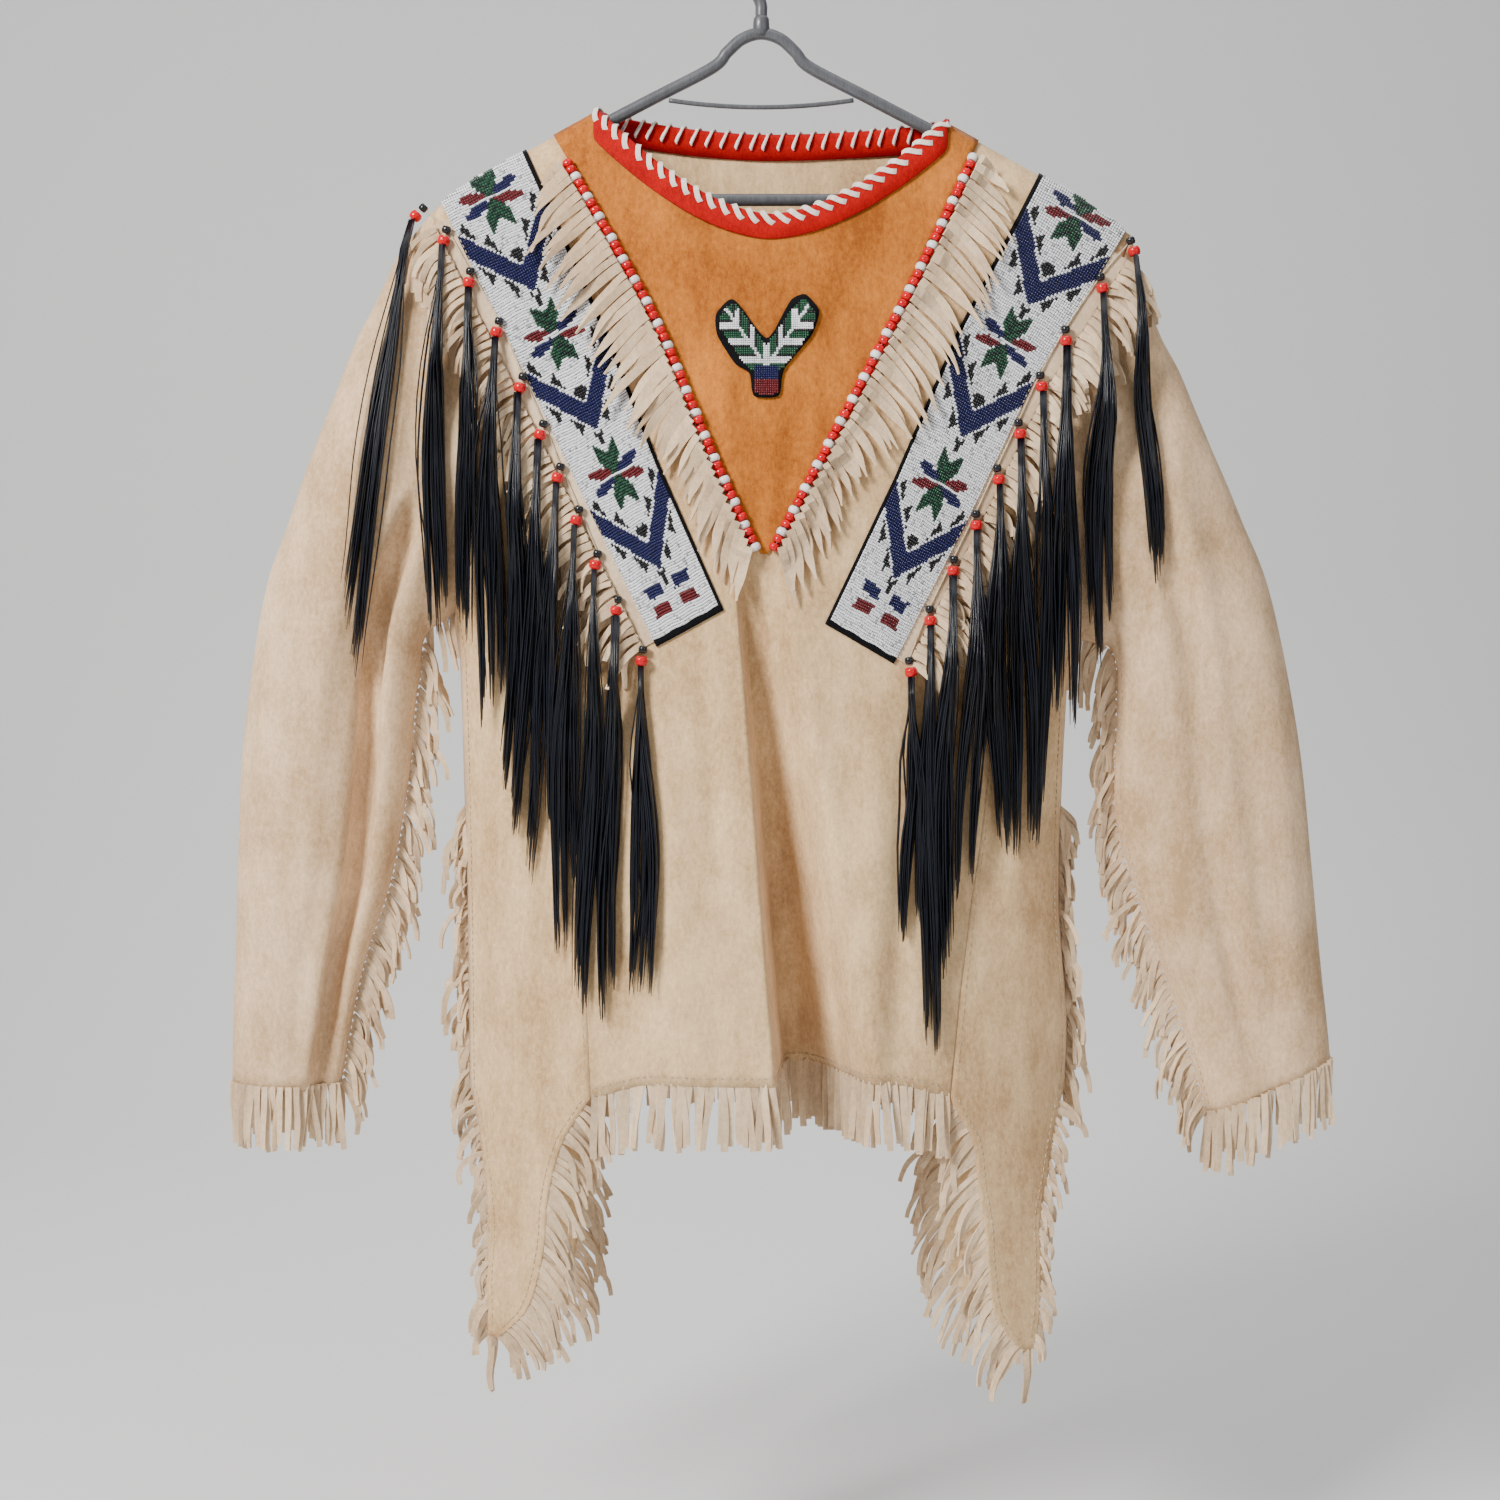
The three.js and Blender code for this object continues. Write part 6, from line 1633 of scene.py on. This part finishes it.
def hanger():
    """The bent tube, its hook as an arc, and the thin cross rod."""
    half = np.array([(0, ARM["arch_top"]), (14, ARM["arch_top"] - 4), (25, ARM["arch_top"] - 13.5)]
                    + [(x, ARM["height"] - ARM["slope"] * x) for x in (36, 80, 130, 184)]
                    + [(198, ARM["bar"] + 12.5), (203, ARM["bar"] + 7), (197, ARM["bar"] + 1.2),
                       (185, ARM["bar"])], float)
    outline = np.concatenate([half, (half * [-1, 1])[::-1][:-1]])
    outline = np.concatenate([outline, outline[:1]])
    count = len(outline)
    dense = []
    for i in range(count - 1):
        a, b, c, d = (outline[(i + k) % (count - 1)] for k in (-1, 0, 1, 2))
        straight = np.linalg.norm(c - b) > 60
        t = np.linspace(0, 1, 10, endpoint=False)[:, None]
        curve = 0.5 * (2 * b + (c - a) * t + (2 * a - 5 * b + 4 * c - d) * t**2
                       + (3 * b - a - 3 * c + d) * t**3)
        dense.append(lerp(b, c, t) if straight else curve)
    dense = np.concatenate(dense)
    path = np.stack([dense[:, 0], np.zeros(len(dense)), dense[:, 1]], -1)
    add_piece("hanger_tube", *tubes(path[None], HANGER_TUBE, 20, closed=True),
              MATERIALS["hanger"], "hanger", hides=["hanger_frame"])
    angle = np.radians(np.linspace(HOOK["start"], HOOK["end"], 60))
    stem = np.array([(0, ARM["arch_top"] + 4.0), (0, -72), (0, -66), (-2, -61), (-5, -56.5),
                     (-11, -51.5)], float)
    arc = np.stack([np.cos(angle), np.sin(angle)], -1) * HOOK["radius"] + [0, HOOK["z"]]
    line = np.concatenate([smooth_line(stem, 40)[:-1], arc])
    share = np.linspace(0, 1, 110)
    line = along(line, share)
    path = np.stack([line[:, 0], 0 * share, line[:, 1]], -1)
    radius = HANGER_TUBE * (1 - 0.25 * smoothstep(share, 0.985, 1.0))
    hook = tubes(path[None], radius[None], 20)
    collar = tubes(np.array([[[0, 0, -88.0], [0, 0, -84], [0, 0, -76], [0, 0, -73.5]]]),
                   np.array([[5.2, 6.3, 6.0, 4.6]]), 24, across=(1.0, 0.0, 0.0))
    add_piece("hanger_hook_tube", *joined([hook, collar]), MATERIALS["hanger"], "hanger",
              hides=["hanger_hook"])
    x = np.linspace(-CROSS_ROD["half"], CROSS_ROD["half"], 40)
    rod_z = CROSS_ROD["middle"] + CROSS_ROD["rise"] * (x / CROSS_ROD["half"]) ** 2
    path = np.stack([x, 0 * x, rod_z], -1)
    add_piece("hanger_rod", *tubes(path[None], CROSS_ROD["radius"], 14), MATERIALS["hanger"],
              "hanger", hides=["hanger_cross_rod"])


# ---------------------------------------------------------------- stage

def area_light(name, place, target, size, power, colour=(1, 1, 1)):
    """A square lamp at a place, turned to shine at a target."""
    data = bpy.data.lights.new(name, "AREA")
    data.shape, data.size, data.size_y = "RECTANGLE", size[0], size[1]
    data.energy, data.color = power, colour
    light = bpy.data.objects.new(name, data)
    light.location = place
    light.rotation_euler = (Vector(target) - Vector(place)).to_track_quat("-Z", "Y").to_euler()
    bpy.context.scene.collection.objects.link(light)


FLOOR_Z = -1.32  # the stage is in metres
FLOOR_HALF = 4
FLOOR_BACK = 1.6  # where the backdrop starts to rise
BACKDROP_BEND = 0.8
BACKDROP_TOP = 3.2


def stage():
    """Floor and backdrop, lamps and camera."""
    corners = np.array([(x, y, FLOOR_Z) for x, y in (
        (-FLOOR_HALF, -FLOOR_HALF), (FLOOR_HALF, -FLOOR_HALF), (FLOOR_HALF, FLOOR_BACK),
        (-FLOOR_HALF, FLOOR_BACK))])
    mesh = bpy.data.meshes.new("floor")
    mesh.from_pydata(corners.tolist(), [], [(0, 1, 2, 3)])
    floor = bpy.data.objects.new("floor", mesh)
    bend = np.linspace(0, math.pi / 2, 14)
    profile = np.stack([FLOOR_BACK + BACKDROP_BEND * np.sin(bend),
                        FLOOR_Z + BACKDROP_BEND * (1 - np.cos(bend))], -1)
    profile = np.concatenate([profile, [(FLOOR_BACK + BACKDROP_BEND, BACKDROP_TOP)]])
    wall = np.stack([np.stack([np.full(len(profile), x), profile[:, 0], profile[:, 1]], -1)
                     for x in (-FLOOR_HALF, FLOOR_HALF)], 1)
    mesh = bpy.data.meshes.new("backdrop")
    faces = grid_quads(len(profile), 2)[:, ::-1].tolist()
    mesh.from_pydata(wall.reshape(-1, 3).tolist(), [], faces)
    mesh.polygons.foreach_set("use_smooth", [True] * len(mesh.polygons))
    backdrop = bpy.data.objects.new("backdrop", mesh)
    paper = bpy.data.materials.new("pale paper")
    paper.use_nodes = True
    shader = paper.node_tree.nodes["Principled BSDF"]
    shader.inputs["Base Color"].default_value = (0.78, 0.78, 0.78, 1)
    shader.inputs["Roughness"].default_value = 0.9
    for thing in (floor, backdrop):
        thing.data.materials.append(paper)
        bpy.context.scene.collection.objects.link(thing)
    area_light("key", (-1.7, -1.9, 1.0), (0, 0, -0.55), (0.8, 0.8), 150, (1.0, 0.98, 0.95))
    area_light("fill", (1.9, -2.2, 0.3), (0, 0, -0.6), (1.6, 1.6), 15, (0.97, 0.98, 1.0))
    area_light("top", (0.2, -0.2, 1.7), (0, 0, -0.5), (1.6, 1.6), 20)
    area_light("behind", (0.0, 2.0, 0.4), (0, 0, -0.5), (2.0, 1.4), 24)
    world = bpy.data.worlds.new("studio")
    world.use_nodes = True
    world.node_tree.nodes["Background"].inputs["Color"].default_value = (0.85, 0.87, 0.9, 1)
    world.node_tree.nodes["Background"].inputs["Strength"].default_value = 0.23
    bpy.context.scene.world = world
    data = bpy.data.cameras.new("camera")
    data.lens, data.sensor_width, data.clip_end = 54.4, 36, 20
    data.sensor_fit = "HORIZONTAL"
    camera = bpy.data.objects.new("camera", data)
    tilt, distance = math.radians(4.5), 1.7
    target = Vector((-0.00825, 0, -0.612))
    camera.location = target + distance * Vector((0, -math.cos(tilt), math.sin(tilt)))
    camera.rotation_euler = (target - camera.location).to_track_quat("-Z", "Y").to_euler()
    bpy.context.scene.collection.objects.link(camera)
    bpy.context.scene.camera = camera


# ---------------------------------------------------------------- add-on

def palest_tone(name, default, of_what):
    """A colour setting for the palest tone of one material."""
    return FloatVectorProperty(name=name, subtype="COLOR", size=3, min=0, max=1, default=default,
                               description=f"Palest tone of {of_what}")


class ShirtSettings(bpy.types.PropertyGroup):
    """Sizes of the shirt's small parts in millimetres, the palest tone of six of its materials, and
    how many bundles of hair a tassel has."""

    seed_pitch: FloatProperty(name="Seed bead pitch", default=1.95, min=1.5, max=4,
                              description="Distance between seed beads across a strip, in mm")
    pony_radius: FloatProperty(name="Large bead radius", default=4.3, min=2, max=8,
                               description="Radius of the red and white beads, in mm")
    fringe_scale: FloatProperty(name="Fringe width", default=1.0, min=0.5, max=2,
                                subtype="FACTOR",
                                description="Width of all cut fringe, as a share of its own")
    hair_radius: FloatProperty(name="Hair radius", default=1.0, min=0.3, max=3,
                               description="Radius of a bundle of hairs, in mm")
    hide_colour: palest_tone("Hide", (0.88, 0.625, 0.35), "the body's suede")
    sleeve_colour: palest_tone("Sleeves", (0.91, 0.66, 0.42), "the sleeves' suede")
    fringe_colour: palest_tone("Fringe", (0.88, 0.69, 0.47), "the cut fringe")
    bib_colour: palest_tone("Bib", (0.66, 0.225, 0.034), "the bib's suede")
    felt_colour: palest_tone("Neck binding", (0.52, 0.001, 0.002), "the binding's felt")
    hanger_colour: palest_tone("Hanger", (0.11, 0.115, 0.125), "the hanger")
    hair_strands: IntProperty(name="Hair bundles", default=62, min=10, max=200,
                              description="Bundles of hair in each tassel")


def settings():
    """The scene's sizes and colours of the shirt."""
    return bpy.context.scene.war_shirt


class WARSHIRT_OT_materials(bpy.types.Operator):
    """Makes the procedural materials of the shirt and its hanger"""

    bl_idname = "warshirt.materials"
    bl_label = "Materials"

    def execute(self, context):
        make_materials()
        return {"FINISHED"}


class WARSHIRT_OT_hides(bpy.types.Operator):
    """Builds the front, the back and the four side hides with their leg tabs"""

    bl_idname = "warshirt.hides"
    bl_label = "Body Hides"

    def execute(self, context):
        hide_walls()
        return {"FINISHED"}


class WARSHIRT_OT_sleeves(bpy.types.Operator):
    """Builds the two open sleeves"""

    bl_idname = "warshirt.sleeves"
    bl_label = "Sleeves"

    def execute(self, context):
        sleeve_walls()
        return {"FINISHED"}


class WARSHIRT_OT_bib(bpy.types.Operator):
    """Builds the hide bib and the laced felt binding of the neck"""

    bl_idname = "warshirt.bib"
    bl_label = "Bib and Neck Binding"

    def execute(self, context):
        bib_wall()
        neck_binding()
        return {"FINISHED"}


class WARSHIRT_OT_strips(bpy.types.Operator):
    """Sews the seed beads of the four strip faces on their ground"""

    bl_idname = "warshirt.strips"
    bl_label = "Beaded Strips"

    def execute(self, context):
        beaded_strips()
        return {"FINISHED"}


class WARSHIRT_OT_large_beads(bpy.types.Operator):
    """Strings the red and white beads along the bib"""

    bl_idname = "warshirt.large_beads"
    bl_label = "Large Bead Strands"

    def execute(self, context):
        bead_strands()
        return {"FINISHED"}


class WARSHIRT_OT_badge(bpy.types.Operator):
    """Sews the beaded badge on the bib"""

    bl_idname = "warshirt.badge"
    bl_label = "Feather Badge"

    def execute(self, context):
        badge()
        return {"FINISHED"}


class WARSHIRT_OT_bands(bpy.types.Operator):
    """Cuts the fringe beside the strips and beside the bib"""

    bl_idname = "warshirt.bands"
    bl_label = "Strip and Bib Fringe"

    def execute(self, context):
        bands_with_fringe()
        return {"FINISHED"}


class WARSHIRT_OT_fringes(bpy.types.Operator):
    """Cuts the fringe of the hem, tabs, sides, sleeves and cuffs"""

    bl_idname = "warshirt.fringes"
    bl_label = "Body Fringe"

    def execute(self, context):
        body_fringes()
        return {"FINISHED"}


class WARSHIRT_OT_tassels(bpy.types.Operator):
    """Hangs the hair locks with their beads"""

    bl_idname = "warshirt.tassels"
    bl_label = "Hair Tassels"

    def execute(self, context):
        hair_tassels()
        return {"FINISHED"}


class WARSHIRT_OT_stitches(bpy.types.Operator):
    """Sews the visible stitches along seams and edges"""

    bl_idname = "warshirt.stitches"
    bl_label = "Stitches"

    def execute(self, context):
        stitches()
        return {"FINISHED"}


class WARSHIRT_OT_hanger(bpy.types.Operator):
    """Bends the tube hanger, its hook and its cross rod"""

    bl_idname = "warshirt.hanger"
    bl_label = "Hanger"

    def execute(self, context):
        hanger()
        return {"FINISHED"}


class WARSHIRT_OT_stage(bpy.types.Operator):
    """Sets the floor, the backdrop, the lights and the camera"""

    bl_idname = "warshirt.stage"
    bl_label = "Stage"

    def execute(self, context):
        stage()
        return {"FINISHED"}


OPERATORS = (
    WARSHIRT_OT_materials,
    WARSHIRT_OT_hides,
    WARSHIRT_OT_sleeves,
    WARSHIRT_OT_bib,
    WARSHIRT_OT_strips,
    WARSHIRT_OT_large_beads,
    WARSHIRT_OT_badge,
    WARSHIRT_OT_bands,
    WARSHIRT_OT_fringes,
    WARSHIRT_OT_tassels,
    WARSHIRT_OT_stitches,
    WARSHIRT_OT_hanger,
    WARSHIRT_OT_stage,
)


class WARSHIRT_PT_panel(bpy.types.Panel):
    """Lists the steps that build the war shirt"""

    bl_idname = "WARSHIRT_PT_panel"
    bl_label = "War Shirt"
    bl_space_type = "VIEW_3D"
    bl_region_type = "UI"
    bl_category = "War Shirt"

    def draw(self, context):
        for name in ShirtSettings.__annotations__:
            self.layout.prop(context.scene.war_shirt, name)
        for step in OPERATORS:
            self.layout.operator(step.bl_idname)


CLASSES = (ShirtSettings, *OPERATORS, WARSHIRT_PT_panel)


def register():
    """Adds the classes and the settings to Blender."""
    for cls in CLASSES:
        bpy.utils.register_class(cls)
    bpy.types.Scene.war_shirt = PointerProperty(type=ShirtSettings)


def unregister():
    """Takes the settings and the classes out again."""
    del bpy.types.Scene.war_shirt
    for cls in reversed(CLASSES):
        bpy.utils.unregister_class(cls)


def main():
    register()
    for step in OPERATORS:
        group, name = step.bl_idname.split(".")
        if getattr(getattr(bpy.ops, group), name)() != {"FINISHED"}:
            raise RuntimeError(f"{step.bl_idname} did not finish")
    bpy.context.view_layer.update()


if __name__ == "__main__":
    main()
